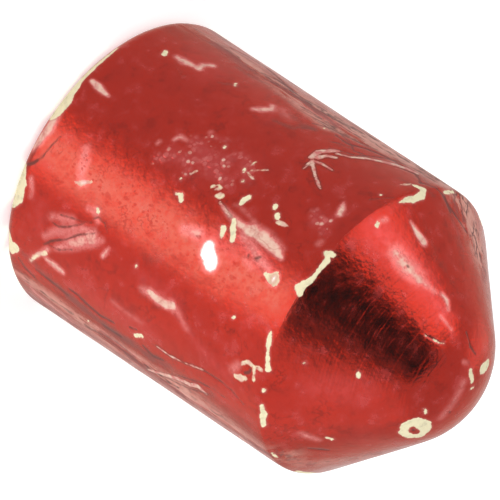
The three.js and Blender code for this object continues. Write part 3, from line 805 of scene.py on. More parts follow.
def choose(piece, kind, wanted):
    """Goes into edit mode with only the wanted edges or faces selected."""
    deselect()
    piece.select_set(True)
    bpy.context.view_layer.objects.active = piece
    bpy.ops.object.mode_set(mode="EDIT")
    bpy.ops.mesh.select_mode(type=kind)
    bpy.ops.mesh.select_all(action="DESELECT")
    bpy.ops.object.mode_set(mode="OBJECT")
    for item in piece.data.edges if kind == "EDGE" else piece.data.polygons:
        item.select = wanted(item)
    bpy.ops.object.mode_set(mode="EDIT")


def block(name, half, bottom, top, corner, segments=6):
    """An upright block with a square plan and rounded corners."""
    deselect()
    bpy.ops.mesh.primitive_cube_add(size=1, location=(0, 0, (bottom + top) / 2))
    piece = named(name)
    piece.scale = (2 * half, 2 * half, top - bottom)
    bpy.ops.object.transform_apply(location=True, rotation=True, scale=True)

    def is_upright(edge):
        a, b = (piece.data.vertices[index].co for index in edge.vertices)
        return abs(a.z - b.z) > 0.1 * MM

    choose(piece, "EDGE", is_upright)
    bpy.ops.mesh.bevel(offset=corner, segments=segments, affect="EDGES")
    bpy.ops.mesh.select_mode(type="VERT")
    bpy.ops.object.mode_set(mode="OBJECT")
    return piece


def seat(piece, node, body, slot, *materials):
    """Makes the piece stand for its CAD node, ride on its body and wear its materials."""
    smooth(piece)
    for material in materials:
        if material.name not in piece.data.materials:
            piece.data.materials.append(material)
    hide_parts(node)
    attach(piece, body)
    return piece


# ---- Relief and marks of the shells ----

WEIGHT_STEPS = 20
WAVE_SIZE = 6 * MM
LIFT_SIZE = 1.6 * MM
CRINKLE_SIZE = 0.8 * MM


def weigh(piece, name, weights):
    """A vertex group that holds the weights, rounded to a few steps."""
    group = piece.vertex_groups.new(name=name)
    levels = np.rint(np.clip(weights, 0, 1) * WEIGHT_STEPS).astype(int)
    for level in range(1, WEIGHT_STEPS + 1):
        members = np.flatnonzero(levels == level).tolist()
        if members:
            group.add(members, level / WEIGHT_STEPS, "REPLACE")


def relief(piece, name, weights, height, wave_size=None):
    """Moves the surface along its normals where the weights say, unevenly if there is a wave size."""
    weigh(piece, name, weights)
    settings = {"strength": height, "mid_level": 0, "vertex_group": name, "direction": "NORMAL"}
    if wave_size:
        texture = bpy.data.textures.new(name, "CLOUDS")
        texture.noise_scale = wave_size
        texture.noise_depth = 1
        settings["texture"] = texture
        settings["texture_coords"] = "LOCAL"
    apply_modifier(piece, "DISPLACE", name, **settings)


def fuzz(piece, fineness):
    """Turns a smooth felt into an uneven one."""
    apply_modifier(piece, "REMESH", "Even mesh", mode="VOXEL", voxel_size=fineness)
    relief(piece, "fuzz", np.ones(len(piece.data.vertices)), -0.08 * MM, 0.5 * MM)


def store(piece, name, values):
    attribute = piece.data.attributes.new(name, "FLOAT", "POINT")
    attribute.data.foreach_set("value", values.astype(np.float32))


def points_of(piece):
    flat = np.empty(len(piece.data.vertices) * 3)
    piece.data.vertices.foreach_get("co", flat)
    return flat.reshape(-1, 3) / MM


def rise(values, low, high):
    """A smooth step from 0 at low to 1 at high."""
    share = np.clip((values - low) / (high - low), 0, 1)
    return share * share * (3 - 2 * share)


def mark_shell(piece, surface, outline, finish):
    """Works out the marks on a shell, raises and sinks them, and stores them for the lacquer."""
    points = points_of(piece)
    side, nose = surface.on_side, surface.on_nose
    outside = rise(-surface.depth(points), -0.5, -0.1)

    back_chips = scattered(26, (3, 43), 0.3, 0.9, BACK_SEED)
    back_rim = round_the_back(7, 0.5, 1.5, BACK_SEED + 1)
    back_shoulder = round_the_back(9, 44.3, 0.4, BACK_SEED + 2)
    back_creases = scattered(10, (4, 42), 0.22, 3.0, BACK_SEED + 3)
    back_haze = clouds_from(scattered(20, (3, 43), 0.6, 2.0, BACK_SEED + 4), 0.7, 0.4)
    back_blush = clouds_from(scattered(9, (5, 40), 1.4, 3.0, BACK_SEED + 5), 0.6, 1.4)
    back_tarnish = clouds_from(scattered(16, (3, 43), 0.4, 1.4, BACK_SEED + 6), 0.6, 0.7)
    back_specks = clouds_from(scattered(3, (10, 36), 3.0, 6.0, BACK_SEED + 7), 0.9, 2.0)
    back_crinkles = clouds_from(scattered(4, (8, 38), 1.2, 2.5, BACK_SEED + 8), 1.0, 0.8)
    back_cracks = scattered(18, (4, 42), 0.12, 2.4, BACK_SEED + 9)
    back_rubbed = clouds_from(scattered(2, (8, 36), 2.4, 8.0, BACK_SEED + 10), 0.8, 2.0)
    back_grime = clouds_from(scattered(5, (4, 42), 2.0, 6.0, BACK_SEED + 11), 0.9, 1.8)

    chips = edge_distance(
        points, (SHOULDER_CHIPS, side), (BARREL_CHIPS, side), (TAIL_TEARS, side), (NOSE_CHIPS, nose),
        (back_chips, side), (back_rim, side), (back_shoulder, side),
    )
    pale_chips = edge_distance(points, (PALE_CHIPS, side))
    creases = edge_distance(points, (CREASES, side), (back_creases, side))
    cracks = edge_distance(points, (CRACKS, side), (NOSE_CRACKS, nose), (back_cracks, side))
    haze_and_highlight = cloud(points, (HAZE, side), (NOSE_HAZE_AND_HIGHLIGHT, nose), (back_haze, side))
    crinkles = cloud(points, (CRINKLES, side), (back_crinkles, side))
    store(piece, "chip", chips)
    store(piece, "pale_chip", pale_chips)
    store(piece, "crease", creases)
    store(piece, "crack", cracks)
    # Painted highlights: where the glints go.
    store(piece, "painted_glint", edge_distance(points, (PAINTED_GLINTS, side)))
    # Clouds, with the cone's painted highlight.
    store(piece, "haze_and_highlight", haze_and_highlight)
    # Pink clouds, with the pink of the cone's painted highlight.
    store(piece, "blush_and_highlight", cloud(points, (BLUSH, side), (NOSE_BLUSH_AND_HIGHLIGHT, nose), (back_blush, side)))
    # Painted highlight stripe on the front, thin lacquer on the back.
    store(piece, "thin_and_highlight", cloud(points, (PAINTED_HIGHLIGHT_STRIPE, side), (back_rubbed, side)))
    store(piece, "tarnish", cloud(points, (TARNISH, side), (NOSE_TARNISH, nose), (back_tarnish, side)))
    # Grime streaks, with the painted pale reflection between them.
    store(piece, "grime_and_reflection", cloud(points, (GRIME_AND_REFLECTION, side), (NOSE_GRIME_AND_REFLECTION, nose), (back_grime, side)))
    store(piece, "specks", cloud(points, (SPECKS, side), (NOSE_SPECKS, nose), (back_specks, side)))
    store(piece, "crinkle", crinkles)
    cone_start = outline.cone_start / MM
    store(piece, "turning", outside * rise(points[:, 2], cone_start, cone_start + 6))

    closed = outside * rise(np.abs(points[:, 2] - PARTING / MM), 0.1, 0.6)
    gone = closed * rise(-np.minimum(chips, pale_chips), -0.08, 0.12)
    left = closed - gone
    relief(piece, "waves", left, -finish.wave_height, WAVE_SIZE)
    relief(piece, "chipped", gone, -finish.chip_depth)
    relief(piece, "creased", left * (1 - rise(-creases, -0.15, 0.1)), -finish.crease_height)
    relief(piece, "cracked", left * rise(-cracks, -0.1, 0.1), -finish.crack_depth)
    relief(piece, "lifted", left * rise(haze_and_highlight, 0.3, 0.8), -finish.lift_height, LIFT_SIZE)
    relief(piece, "crinkled", left * crinkles, -finish.crinkle_height, CRINKLE_SIZE)


def coat_shell(piece, surface):
    """Lacquers the outside and leaves the rest bare brass."""
    for name in ("candy_lacquer", "lathe_brass"):
        piece.data.materials.append(named_material(name))
    count = len(piece.data.polygons)
    centres = np.empty(count * 3)
    piece.data.polygons.foreach_get("center", centres)
    centres = centres.reshape(-1, 3) / MM
    bare = (surface.depth(centres) > 0.5).astype(np.int32)
    piece.data.polygons.foreach_set("material_index", bare)
    piece.data.update()


# ---- Material building ----


def wire(tree, value, socket):
    if isinstance(value, bpy.types.NodeSocket):
        tree.links.new(value, socket)
    elif value is not None:
        socket.default_value = value


def add(tree, kind, inputs=(), **settings):
    """Adds a shader node. inputs pairs socket names or numbers with values or other nodes' outputs."""
    made = tree.nodes.new("ShaderNode" + kind)
    for key, value in settings.items():
        setattr(made, key, value)
    for key, value in dict(inputs).items():
        wire(tree, value, made.inputs[key])
    return made


def math_of(tree, operation, a, b=None, clamp=False):
    return add(tree, "Math", {0: a, 1: b}, operation=operation, use_clamp=clamp).outputs[0]


def span(tree, value, low, high, out_low=0.0, out_high=1.0):
    """A smooth step of the value between low and high."""
    inputs = {"Value": value, "From Min": low, "From Max": high, "To Min": out_low, "To Max": out_high}
    return add(tree, "MapRange", inputs, interpolation_type="SMOOTHSTEP").outputs[0]


def blend_colour(tree, share, a, b, mode="MIX"):
    made = add(tree, "Mix", data_type="RGBA", blend_type=mode)
    wire(tree, share, made.inputs[0])
    wire(tree, a, made.inputs[6])
    wire(tree, b, made.inputs[7])
    return made.outputs[2]


def noise_of(tree, place, scale, detail=2.0, roughness=0.5):
    inputs = {"Vector": place, "Scale": scale, "Detail": detail, "Roughness": roughness}
    return add(tree, "TexNoise", inputs).outputs["Fac"]


def stored(tree, name):
    return add(tree, "Attribute", attribute_name=name, attribute_type="GEOMETRY").outputs["Fac"]


def rgba(colour, share=1.0):
    return (*(channel * share for channel in colour), 1.0)


def object_place(tree):
    return add(tree, "TexCoord").outputs["Object"]


def stretched(tree, place, scale):
    return add(tree, "Mapping", {"Vector": place, "Scale": scale}).outputs[0]


def new_material(name):
    material = bpy.data.materials.new(name)
    material.use_nodes = True
    tree = material.node_tree
    tree.nodes.clear()
    shader = tree.nodes.new("ShaderNodeBsdfPrincipled")
    end = tree.nodes.new("ShaderNodeOutputMaterial")
    tree.links.new(shader.outputs[0], end.inputs["Surface"])
    return material, tree, shader


def new_group(name, inputs, outputs):
    """An empty shader node group. inputs pairs names with default numbers."""
    tree = bpy.data.node_groups.new(name, "ShaderNodeTree")
    tree.interface.new_socket("Vector", in_out="INPUT", socket_type="NodeSocketVector")
    for key, value in inputs.items():
        tree.interface.new_socket(key, in_out="INPUT", socket_type="NodeSocketFloat").default_value = value
    for key in outputs:
        tree.interface.new_socket(key, in_out="OUTPUT", socket_type="NodeSocketFloat")
    return tree, tree.nodes.new("NodeGroupInput").outputs, tree.nodes.new("NodeGroupOutput").inputs


def mottle_group():
    """Cloudy unevenness at one size, from 0 to 1."""
    tree, given, made = new_group("Mottle", {"Size": 0.003, "Contrast": 1.0}, ["Value"])
    scale = math_of(tree, "DIVIDE", 1.0, given["Size"])
    fine = add(tree, "TexNoise", {"Vector": given["Vector"], "Scale": scale, "Detail": 4.0, "Roughness": 0.6})
    centred = math_of(tree, "SUBTRACT", fine.outputs["Fac"], 0.5)
    spread = math_of(tree, "MULTIPLY", centred, given["Contrast"])
    wire(tree, math_of(tree, "ADD", spread, 0.5, clamp=True), made["Value"])
    return tree


def turning_group():
    """Fine rings left by the lathe: a height, and a mask of the deeper ones."""
    tree, given, made = new_group("Turning Marks", {"Pitch": 0.0003, "Wander": 0.4}, ["Height", "Deep"])
    parts = add(tree, "SeparateXYZ", {"Vector": given["Vector"]})
    square = math_of(tree, "ADD", math_of(tree, "MULTIPLY", parts.outputs[0], parts.outputs[0]),
                     math_of(tree, "MULTIPLY", parts.outputs[1], parts.outputs[1]))
    radius = math_of(tree, "SQRT", square)
    along = math_of(tree, "SUBTRACT", parts.outputs[2], radius)
    drift = noise_of(tree, given["Vector"], 350.0, 3.0)
    shift = math_of(tree, "MULTIPLY", math_of(tree, "MULTIPLY", drift, given["Wander"]), given["Pitch"])
    rings = math_of(tree, "DIVIDE", math_of(tree, "ADD", along, shift), given["Pitch"])
    line_noise = add(tree, "TexNoise", {"W": rings, "Scale": 1.0, "Detail": 2.0}, noise_dimensions="1D")
    wire(tree, line_noise.outputs["Fac"], made["Height"])
    wire(tree, span(tree, line_noise.outputs["Fac"], 0.56, 0.70), made["Deep"])
    return tree


def dust_group():
    """Chalk dust that has settled on what faces up."""
    tree, given, made = new_group("Chalk Dust", {"Amount": 0.5}, ["Mask"])
    facing = add(tree, "SeparateXYZ", {"Vector": add(tree, "NewGeometry").outputs["Normal"]}).outputs[2]
    patches = noise_of(tree, given["Vector"], 700.0, 5.0, 0.7)
    lying = span(tree, facing, -0.2, 0.9, 0.35, 1.0)
    share = math_of(tree, "MULTIPLY", lying, given["Amount"])
    low = math_of(tree, "SUBTRACT", 0.75, math_of(tree, "MULTIPLY", share, 0.5))
    made_mask = math_of(tree, "DIVIDE", math_of(tree, "SUBTRACT", patches, low), 0.2, clamp=True)
    wire(tree, math_of(tree, "MULTIPLY", made_mask, share), made["Mask"])
    return tree


def place_group(tree, name, place, **values):
    made = tree.nodes.new("ShaderNodeGroup")
    made.node_tree = bpy.data.node_groups[name]
    wire(tree, place, made.inputs["Vector"])
    for key, value in values.items():
        made.inputs[key].default_value = value
    return made.outputs


def bump(tree, shader, height, depth, under=None):
    made = add(tree, "Bump", {"Height": height, "Distance": depth, "Strength": 1.0, "Normal": under})
    wire(tree, made.outputs[0], shader.inputs["Normal"])
    return made.outputs[0]


def set_up(shader, **values):
    for key, value in values.items():
        shader.inputs[key.replace("_", " ")].default_value = value


# ---- Lacquer ----


class Coats:
    """The lacquer's colour, laid on coat by coat, and the masks of what is dull and what is dirty."""

    def __init__(self, tree, finish):
        place = object_place(tree)
        self.tree, self.finish, self.place = tree, finish, place
        self.coarse = place_group(tree, "Mottle", place, Size=0.006, Contrast=2.2)["Value"]
        self.middle = place_group(tree, "Mottle", place, Size=0.0022, Contrast=2.6)["Value"]
        self.fine = place_group(tree, "Mottle", place, Size=0.0009, Contrast=2.6)["Value"]
        self.grit = noise_of(tree, place, 2600.0)
        self.lumps = noise_of(tree, place, 850.0)
        swirl = add(tree, "TexNoise", {"Vector": place, "Scale": 450.0}).outputs["Color"]
        self.bent = add(tree, "Mix", {0: 0.0009, 4: place, 5: swirl}, data_type="VECTOR").outputs[1]
        self.drawn = stretched(tree, self.bent, (1.0, 1.0, 0.13))
        self.ragged = self.total(self.about_zero(self.lumps, 0.6), self.about_zero(self.grit, 0.25))
        self.colour = blend_colour(tree, self.coarse, rgba(finish.deep_red), rgba(finish.red))
        self.dull, self.dirty = [], []

    def joined(self, operation, values):
        result = values[0]
        for value in values[1:]:
            result = math_of(self.tree, operation, result, value)
        return result

    def product(self, *values):
        return self.joined("MULTIPLY", values)

    def most(self, *values):
        return self.joined("MAXIMUM", values)

    def total(self, *values):
        return self.joined("ADD", values)

    def about_zero(self, noise, reach):
        return self.product(math_of(self.tree, "SUBTRACT", noise, 0.5), reach)

    def step(self, value, low, high, out_low=0.0, out_high=1.0):
        return span(self.tree, value, low, high, out_low, out_high)

    def mark(self, name):
        return stored(self.tree, name)

    def edge(self, name, outside, inside):
        """The inside of the marks, with a ragged edge."""
        return self.step(self.total(self.mark(name), self.ragged), outside, inside)

    def frayed(self, name, reach):
        """A cloud whose edge and inside are broken up."""
        cloudy = self.mark(name)
        shaken = self.total(cloudy, self.about_zero(self.lumps, reach), self.about_zero(self.grit, 0.5))
        return self.product(cloudy, self.step(shaken, 0.05, 0.7))

    def threads(self, noise, width, core):
        """Thin lines where the noise passes its middle."""
        away = math_of(self.tree, "ABSOLUTE", math_of(self.tree, "SUBTRACT", noise, 0.5))
        return self.step(away, width, core)

    def cells(self, place, scale):
        """Small cells: the distance from their middles, and random numbers for each."""
        made = add(self.tree, "TexVoronoi", {"Vector": place, "Scale": scale}).outputs
        return made["Distance"], add(self.tree, "SeparateColor", {0: made["Color"]}).outputs

    def cover(self, mask, colour):
        self.colour = blend_colour(self.tree, mask, self.colour, colour)


def marble(coats):
    """Uneven lacquer with fine veins; a paler stripe that paints the barrel's highlight, thin patches on the
    back, and pink clouds that also tint the cone's painted highlight.
    """
    finish, step = coats.finish, coats.step
    coats.cover(step(coats.middle, 0.55, 1.0, 0.0, 0.45), rgba(finish.blush_and_highlight, 0.9))
    coats.cover(step(coats.middle, 0.42, 0.0, 0.0, 0.5), rgba(finish.deep_red, 0.7))
    uneven = coats.product(step(coats.middle, 0.0, 0.6, 0.5, 1.0), step(coats.fine, 0.1, 0.7, 0.6, 1.15))
    # Painted highlight: the paler stripe down the barrel's front.
    coats.cover(coats.product(coats.mark("thin_and_highlight"), uneven), rgba(finish.thin_and_highlight))
    veins = coats.threads(noise_of(coats.tree, coats.bent, 300.0, 3.0, 0.6), 0.02, 0.004)
    coats.cover(coats.product(veins, step(coats.coarse, 0.45, 0.7), 0.35), rgba(finish.deep_red, 0.45))
    blush_and_highlight = coats.product(coats.mark("blush_and_highlight"), step(coats.fine, 0.1, 0.8, 0.45, 1.0))
    coats.cover(blush_and_highlight, rgba(finish.blush_and_highlight))


def crinkle(coats):
    """Pink lumps with dark seams, and painted highlights: a few bright sparkles on them."""
    finish, step = coats.finish, coats.step
    crinkled = coats.frayed("crinkle", 0.7)
    distance, tone = coats.cells(coats.bent, 1450.0)
    bulge = step(distance, 0.72, 0.32)
    pink = coats.product(bulge, crinkled, step(tone[0], 0.0, 0.6))
    coats.cover(coats.product(crinkled, 0.6), rgba(finish.blush_and_highlight, 0.85))
    coats.cover(coats.product(pink, 0.5), rgba(finish.lifted, 0.95))
    # Painted highlights: bright sparkles on a few lumps.
    painted_sparkles = coats.product(step(distance, 0.44, 0.24), crinkled, step(tone[1], 0.74, 0.80))
    coats.cover(coats.product(painted_sparkles, 0.8), rgba(finish.haze_and_highlight))
    coats.dull += [painted_sparkles, coats.product(pink, 0.35)]
    return coats.product(bulge, crinkled)


def cloud_over(coats):
    """Clouded lacquer, pink where it is faint and cream where it is strong; on the cone it paints a broad
    highlight.
    """
    finish, step = coats.finish, coats.step
    haze_and_highlight = coats.frayed("haze_and_highlight", 0.8)
    halo = coats.product(step(coats.mark("haze_and_highlight"), 0.0, 0.5), step(coats.fine, 0.0, 0.7, 0.3, 0.75))
    coats.cover(coats.most(halo, step(haze_and_highlight, 0.0, 0.5)), rgba(finish.lifted))
    # Cream, which on the cone paints its highlight.
    creamy = coats.product(step(haze_and_highlight, 0.36, 0.8), step(coats.fine, 0.05, 0.7, 0.45, 1.0))
    coats.cover(creamy, rgba(finish.haze_and_highlight))
    threads = coats.threads(noise_of(coats.tree, coats.bent, 380.0), 0.03, 0.0)
    coats.cover(coats.product(threads, step(haze_and_highlight, 0.1, 0.4), 0.35), rgba(finish.blush_and_highlight, 0.8))
    coats.dull.append(coats.product(haze_and_highlight, 0.9))


def soil_and_reflection(coats):
    """Grime in streaks along the axis, with a pale film between them that paints the pale reflection of the
    sides.
    """
    finish, step = coats.finish, coats.step
    grime_and_reflection = coats.mark("grime_and_reflection")
    band = place_group(coats.tree, "Mottle", coats.drawn, Size=0.0026, Contrast=3.0)["Value"]
    # Painted reflection: a pale film between the grime streaks.
    film_and_reflection = coats.product(step(band, 0.2, 0.55), grime_and_reflection, step(coats.fine, 0.0, 0.7, 0.6, 1.0))
    coats.cover(coats.product(film_and_reflection, 0.9), rgba(finish.film_and_reflection))
    strands = coats.threads(noise_of(coats.tree, coats.drawn, 520.0, 3.0, 0.65), 0.06, 0.012)
    lines = coats.product(strands, grime_and_reflection, step(coats.middle, 0.25, 0.6), 0.95)
    dark = coats.most(lines, coats.product(step(band, 0.26, 0.05), grime_and_reflection, 0.75))
    coats.cover(dark, rgba(finish.tarnish))
    coats.dull.append(coats.product(film_and_reflection, 0.7))
    coats.dirty.append(dark)
    return grime_and_reflection


def darken(coats):
    """Dark places, and specks of two sizes."""
    finish, step = coats.finish, coats.step
    tarnish = coats.frayed("tarnish", 0.8)
    coats.cover(tarnish, rgba(finish.tarnish, 1.6))
    coats.dirty.append(coats.product(tarnish, 0.6))
    flattened = stretched(coats.tree, coats.bent, (1, 1, 0.6))
    for scale, biggest, weight in ((1100.0, 0.36, 0.5), (2500.0, 0.50, 0.55)):
        distance, tone = coats.cells(flattened, scale)
        size = step(tone[0], 0.25, 1.0, 0.0, biggest)
        dots = step(math_of(coats.tree, "SUBTRACT", size, distance), -0.02, 0.12)
        coats.cover(coats.product(dots, coats.mark("specks"), weight), rgba(finish.deep_red, 0.8))


def crease(coats):
    """Pale ridges with a dark foot, and fine cracks."""
    finish, step = coats.finish, coats.step
    near = coats.total(coats.mark("crease"), coats.product(coats.ragged, 0.5))
    coats.cover(step(near, 0.34, 0.04, 0.0, 0.5), rgba(finish.tarnish, 1.5))
    ridge = step(near, 0.08, -0.08)
    pale = blend_colour(coats.tree, step(coats.fine, 0.2, 0.8), rgba(finish.lifted), rgba(finish.haze_and_highlight))
    coats.cover(coats.product(ridge, 0.9), pale)
    coats.dull.append(coats.product(ridge, 0.85))
    near = coats.total(coats.mark("crack"), coats.product(coats.ragged, 0.6))
    crack = step(near, 0.16, -0.10, 0.0, 0.75)
    coats.cover(crack, rgba(finish.tarnish))
    coats.dirty.append(crack)


def chip(coats):
    """Chips down to the undercoat, and pale ones that are only lifted."""
    tree, finish = coats.tree, coats.finish
    coats.cover(coats.product(coats.edge("chip", 0.34, 0.04), 0.4), rgba(finish.lifted, 0.8))
    bare = coats.edge("chip", 0.07, -0.08)
    stained = coats.step(coats.fine, 0.45, 1.0, 0.0, 0.6)
    coats.cover(bare, blend_colour(tree, stained, rgba(finish.undercoat), rgba(finish.undercoat, 0.7)))
    pale = coats.edge("pale_chip", 0.14, -0.14)
    patchy = coats.step(coats.fine, 0.3, 0.8)
    faint = coats.product(pale, 0.9)
    coats.cover(faint, blend_colour(tree, patchy, rgba(finish.haze_and_highlight), rgba(finish.undercoat)))
    coats.dull += [bare, faint]
    return coats.most(bare, pale)


def paint_glints(coats):
    """Painted highlights: near-white bare-metal spots where the lamp's glints fall, each in a painted pink
    halo.
    """
    coats.cover(coats.product(coats.edge("painted_glint", 0.9, 0.0), 0.6), rgba(coats.finish.lifted))
    painted_glint = coats.edge("painted_glint", 0.30, -0.42)
    coats.cover(painted_glint, (0.95, 0.93, 0.90, 1.0))
    return painted_glint


def lacquer(finish):
    """Candy-red lacquer over polished metal, clouded, creased, specked and chipped to its undercoat, with
    painted highlights and a painted pale reflection along its sides.
    """
    material, tree, shader = new_material("candy_lacquer")
    coats = Coats(tree, finish)
    marble(coats)
    lumps = crinkle(coats)
    cloud_over(coats)
    # Grime, with a painted pale reflection.
    grime_and_reflection = soil_and_reflection(coats)
    darken(coats)
    crease(coats)
    lost = chip(coats)
    # Painted highlights: near-white metal glints with pink halos.
    painted_glint = paint_glints(coats)
    wire(tree, coats.colour, shader.inputs["Base Color"])

    dirt = coats.most(*coats.dirty)
    # The painted glints stay bright metal.
    dull = coats.product(coats.most(dirt, *coats.dull), math_of(tree, "SUBTRACT", 1.0, painted_glint))
    wire(tree, math_of(tree, "SUBTRACT", 1.0, dull), shader.inputs["Metallic"])
    gloss = coats.step(coats.middle, 0.0, 1.0, finish.roughness - 0.05, finish.roughness + 0.08)
    wire(tree, coats.total(gloss, coats.product(dull, 0.35)), shader.inputs["Roughness"])
    clear = math_of(tree, "SUBTRACT", 1.0, coats.most(lost, dirt, coats.product(grime_and_reflection, 0.85)))
    wire(tree, coats.product(clear, finish.coat), shader.inputs["Coat Weight"])
    set_up(shader, Coat_Roughness=0.06, Sheen_Weight=0.015, Sheen_Roughness=1.0,
           Specular_IOR_Level=0.3, Specular_Tint=(1.0, 0.72, 0.64, 1.0))

    # Orange peel, lathe rings on the cone, crinkled lumps
    rings = place_group(tree, "Turning Marks", coats.place, Pitch=0.0005, Wander=1.6)
    peel = coats.product(noise_of(tree, coats.place, 900.0), finish.dimples)
    peel = coats.total(peel, coats.product(coats.grit, finish.dimples * 0.35))
    ringed = coats.product(rings["Height"], coats.mark("turning"), 0.6)
    bump(tree, shader, coats.total(peel, ringed, coats.product(lumps, 1.4)), 0.045 * MM)
    return material


# ---- Materials of the inside ----


def metal(name, colour, roughness, pitch, dusty=0.0, chalk=None):
    """A turned metal with fine rings and uneven gloss."""
    material, tree, shader = new_material(name)
    place = object_place(tree)
    rings = place_group(tree, "Turning Marks", place, Pitch=pitch, Wander=0.3)
    cloudy = place_group(tree, "Mottle", place, Size=0.004, Contrast=2.0)["Value"]
    tone = blend_colour(tree, cloudy, rgba(colour, 0.82), rgba(colour, 1.08))
    tone = blend_colour(tree, math_of(tree, "MULTIPLY", rings["Deep"], 0.4), tone, rgba(colour, 0.55))
    gloss = span(tree, rings["Height"], 0.3, 0.7, roughness - 0.06, roughness + 0.08)
    shine = 1.0
    if dusty:
        dust = place_group(tree, "Chalk Dust", place, Amount=dusty)["Mask"]
        tone = blend_colour(tree, dust, tone, rgba(chalk, 1.2))
        gloss = math_of(tree, "ADD", gloss, math_of(tree, "MULTIPLY", dust, 0.5))
        shine = math_of(tree, "SUBTRACT", 1.0, dust)
    wire(tree, tone, shader.inputs["Base Color"])
    wire(tree, gloss, shader.inputs["Roughness"])
    wire(tree, shine, shader.inputs["Metallic"])
    bump(tree, shader, rings["Height"], 0.01 * MM)
    return material


def matt(name, colour, roughness, size, depth, dusty=0.0, chalk=None, contrast=2.0):
    """A matt surface with grain of the given size, and chalk dust where it is open to it."""
    material, tree, shader = new_material(name)
    place = object_place(tree)
    cloudy = place_group(tree, "Mottle", place, Size=size * 6, Contrast=contrast)["Value"]
    grain = place_group(tree, "Mottle", place, Size=size, Contrast=contrast)["Value"]
    tone = blend_colour(tree, cloudy, rgba(colour, 0.75), rgba(colour, 1.15))
    tone = blend_colour(tree, span(tree, grain, 0.5, 1.0, 0.0, 0.5), tone, rgba(colour, 1.7))
    if dusty:
        dust = place_group(tree, "Chalk Dust", place, Amount=dusty)["Mask"]
        tone = blend_colour(tree, dust, tone, rgba(chalk, 1.1))
    wire(tree, tone, shader.inputs["Base Color"])
    wire(tree, span(tree, grain, 0.0, 1.0, roughness - 0.08, roughness + 0.08), shader.inputs["Roughness"])
    bump(tree, shader, grain, depth)
    return material


def felt(colour, chalk):
    """Pressed wool: fine fibres that run every way, and a soft sheen."""
    material, tree, shader = new_material("pressed_felt")
    place = object_place(tree)
    fibres = noise_of(tree, stretched(tree, place, (1, 0.25, 1)), 5200.0, 3.0, 0.7)
    crossing = noise_of(tree, stretched(tree, place, (0.25, 1, 1)), 5200.0, 3.0, 0.7)
    nap = math_of(tree, "MAXIMUM", fibres, crossing)
    cloudy = place_group(tree, "Mottle", place, Size=0.003, Contrast=2.0)["Value"]
    tone = blend_colour(tree, cloudy, rgba(colour, 0.7), rgba(colour, 1.2))
    tone = blend_colour(tree, span(tree, nap, 0.5, 0.75, 0.0, 0.6), tone, rgba(colour, 2.2))
    dust = place_group(tree, "Chalk Dust", place, Amount=0.8)["Mask"]
    wire(tree, blend_colour(tree, dust, tone, rgba(chalk)), shader.inputs["Base Color"])
    set_up(shader, Roughness=0.95, Sheen_Weight=0.4, Sheen_Roughness=0.5)
    bump(tree, shader, nap, 0.12 * MM)
    return material


def chalk_material(colour):
    """Pressed chalk: fine grain, pits, and a paler rubbed surface in the hollow."""
    material, tree, shader = new_material("pressed_chalk")
    place = object_place(tree)
    cloudy = place_group(tree, "Mottle", place, Size=0.004, Contrast=2.4)["Value"]
    grain = place_group(tree, "Mottle", place, Size=0.00035, Contrast=2.0)["Value"]
    pits = add(tree, "TexVoronoi", {"Vector": place, "Scale": 1300.0})
    hole = span(tree, pits.outputs["Distance"], 0.16, 0.06)
    tone = blend_colour(tree, cloudy, rgba(colour, 0.8), rgba(colour, 1.15))
    rubbed = span(tree, stored(tree, "rubbed"), 0.0, 1.0, 0.0, 0.55)
    tone = blend_colour(tree, rubbed, tone, rgba(colour, 1.6))
    tone = blend_colour(tree, span(tree, grain, 0.55, 1.0, 0.0, 0.6), tone, rgba(colour, 2.0))
    tone = blend_colour(tree, math_of(tree, "MULTIPLY", hole, 0.7), tone, rgba(colour, 0.35))
    wire(tree, tone, shader.inputs["Base Color"])
    set_up(shader, Roughness=1.0, Specular_IOR_Level=0.2)
    height = math_of(tree, "SUBTRACT", grain, hole)
    bump(tree, shader, height, 0.08 * MM)
    return material


def build_materials(scene):
    lacquer_finish, inside = scene.lacquer_finish, scene.inside_finish
    mottle_group()
    turning_group()
    dust_group()
    chalk = tuple(inside.chalk)
    lacquer(lacquer_finish)
    metal("lathe_brass", inside.brass, 0.28, 0.00022, 0.55, chalk)
    metal("blackened_steel", inside.steel, 0.35, 0.00030)
    metal("nickel_plate", inside.nickel, 0.22, 0.00026)
    matt("hard_ferrite", inside.ferrite, 0.55, 0.00018, 0.02 * MM)
    matt("moulded_rubber", inside.rubber, 0.62, 0.00030, 0.02 * MM, 0.75, chalk)
    matt("wrapper_paper", inside.paper, 0.85, 0.00028, 0.02 * MM, 0.35, chalk, 1.4)
    felt(inside.felt, chalk)
    chalk_material(inside.chalk)


def named_material(name):
    return bpy.data.materials[name]


# ---- Stage ----


def direction(azimuth, elevation):
    """Unit vector to a direction, in degrees. Azimuth 0 is -Y and 90 is +X."""
    turn, lift = math.radians(azimuth), math.radians(elevation)
    return Vector((math.sin(turn) * math.cos(lift), -math.cos(turn) * math.cos(lift), math.sin(lift)))


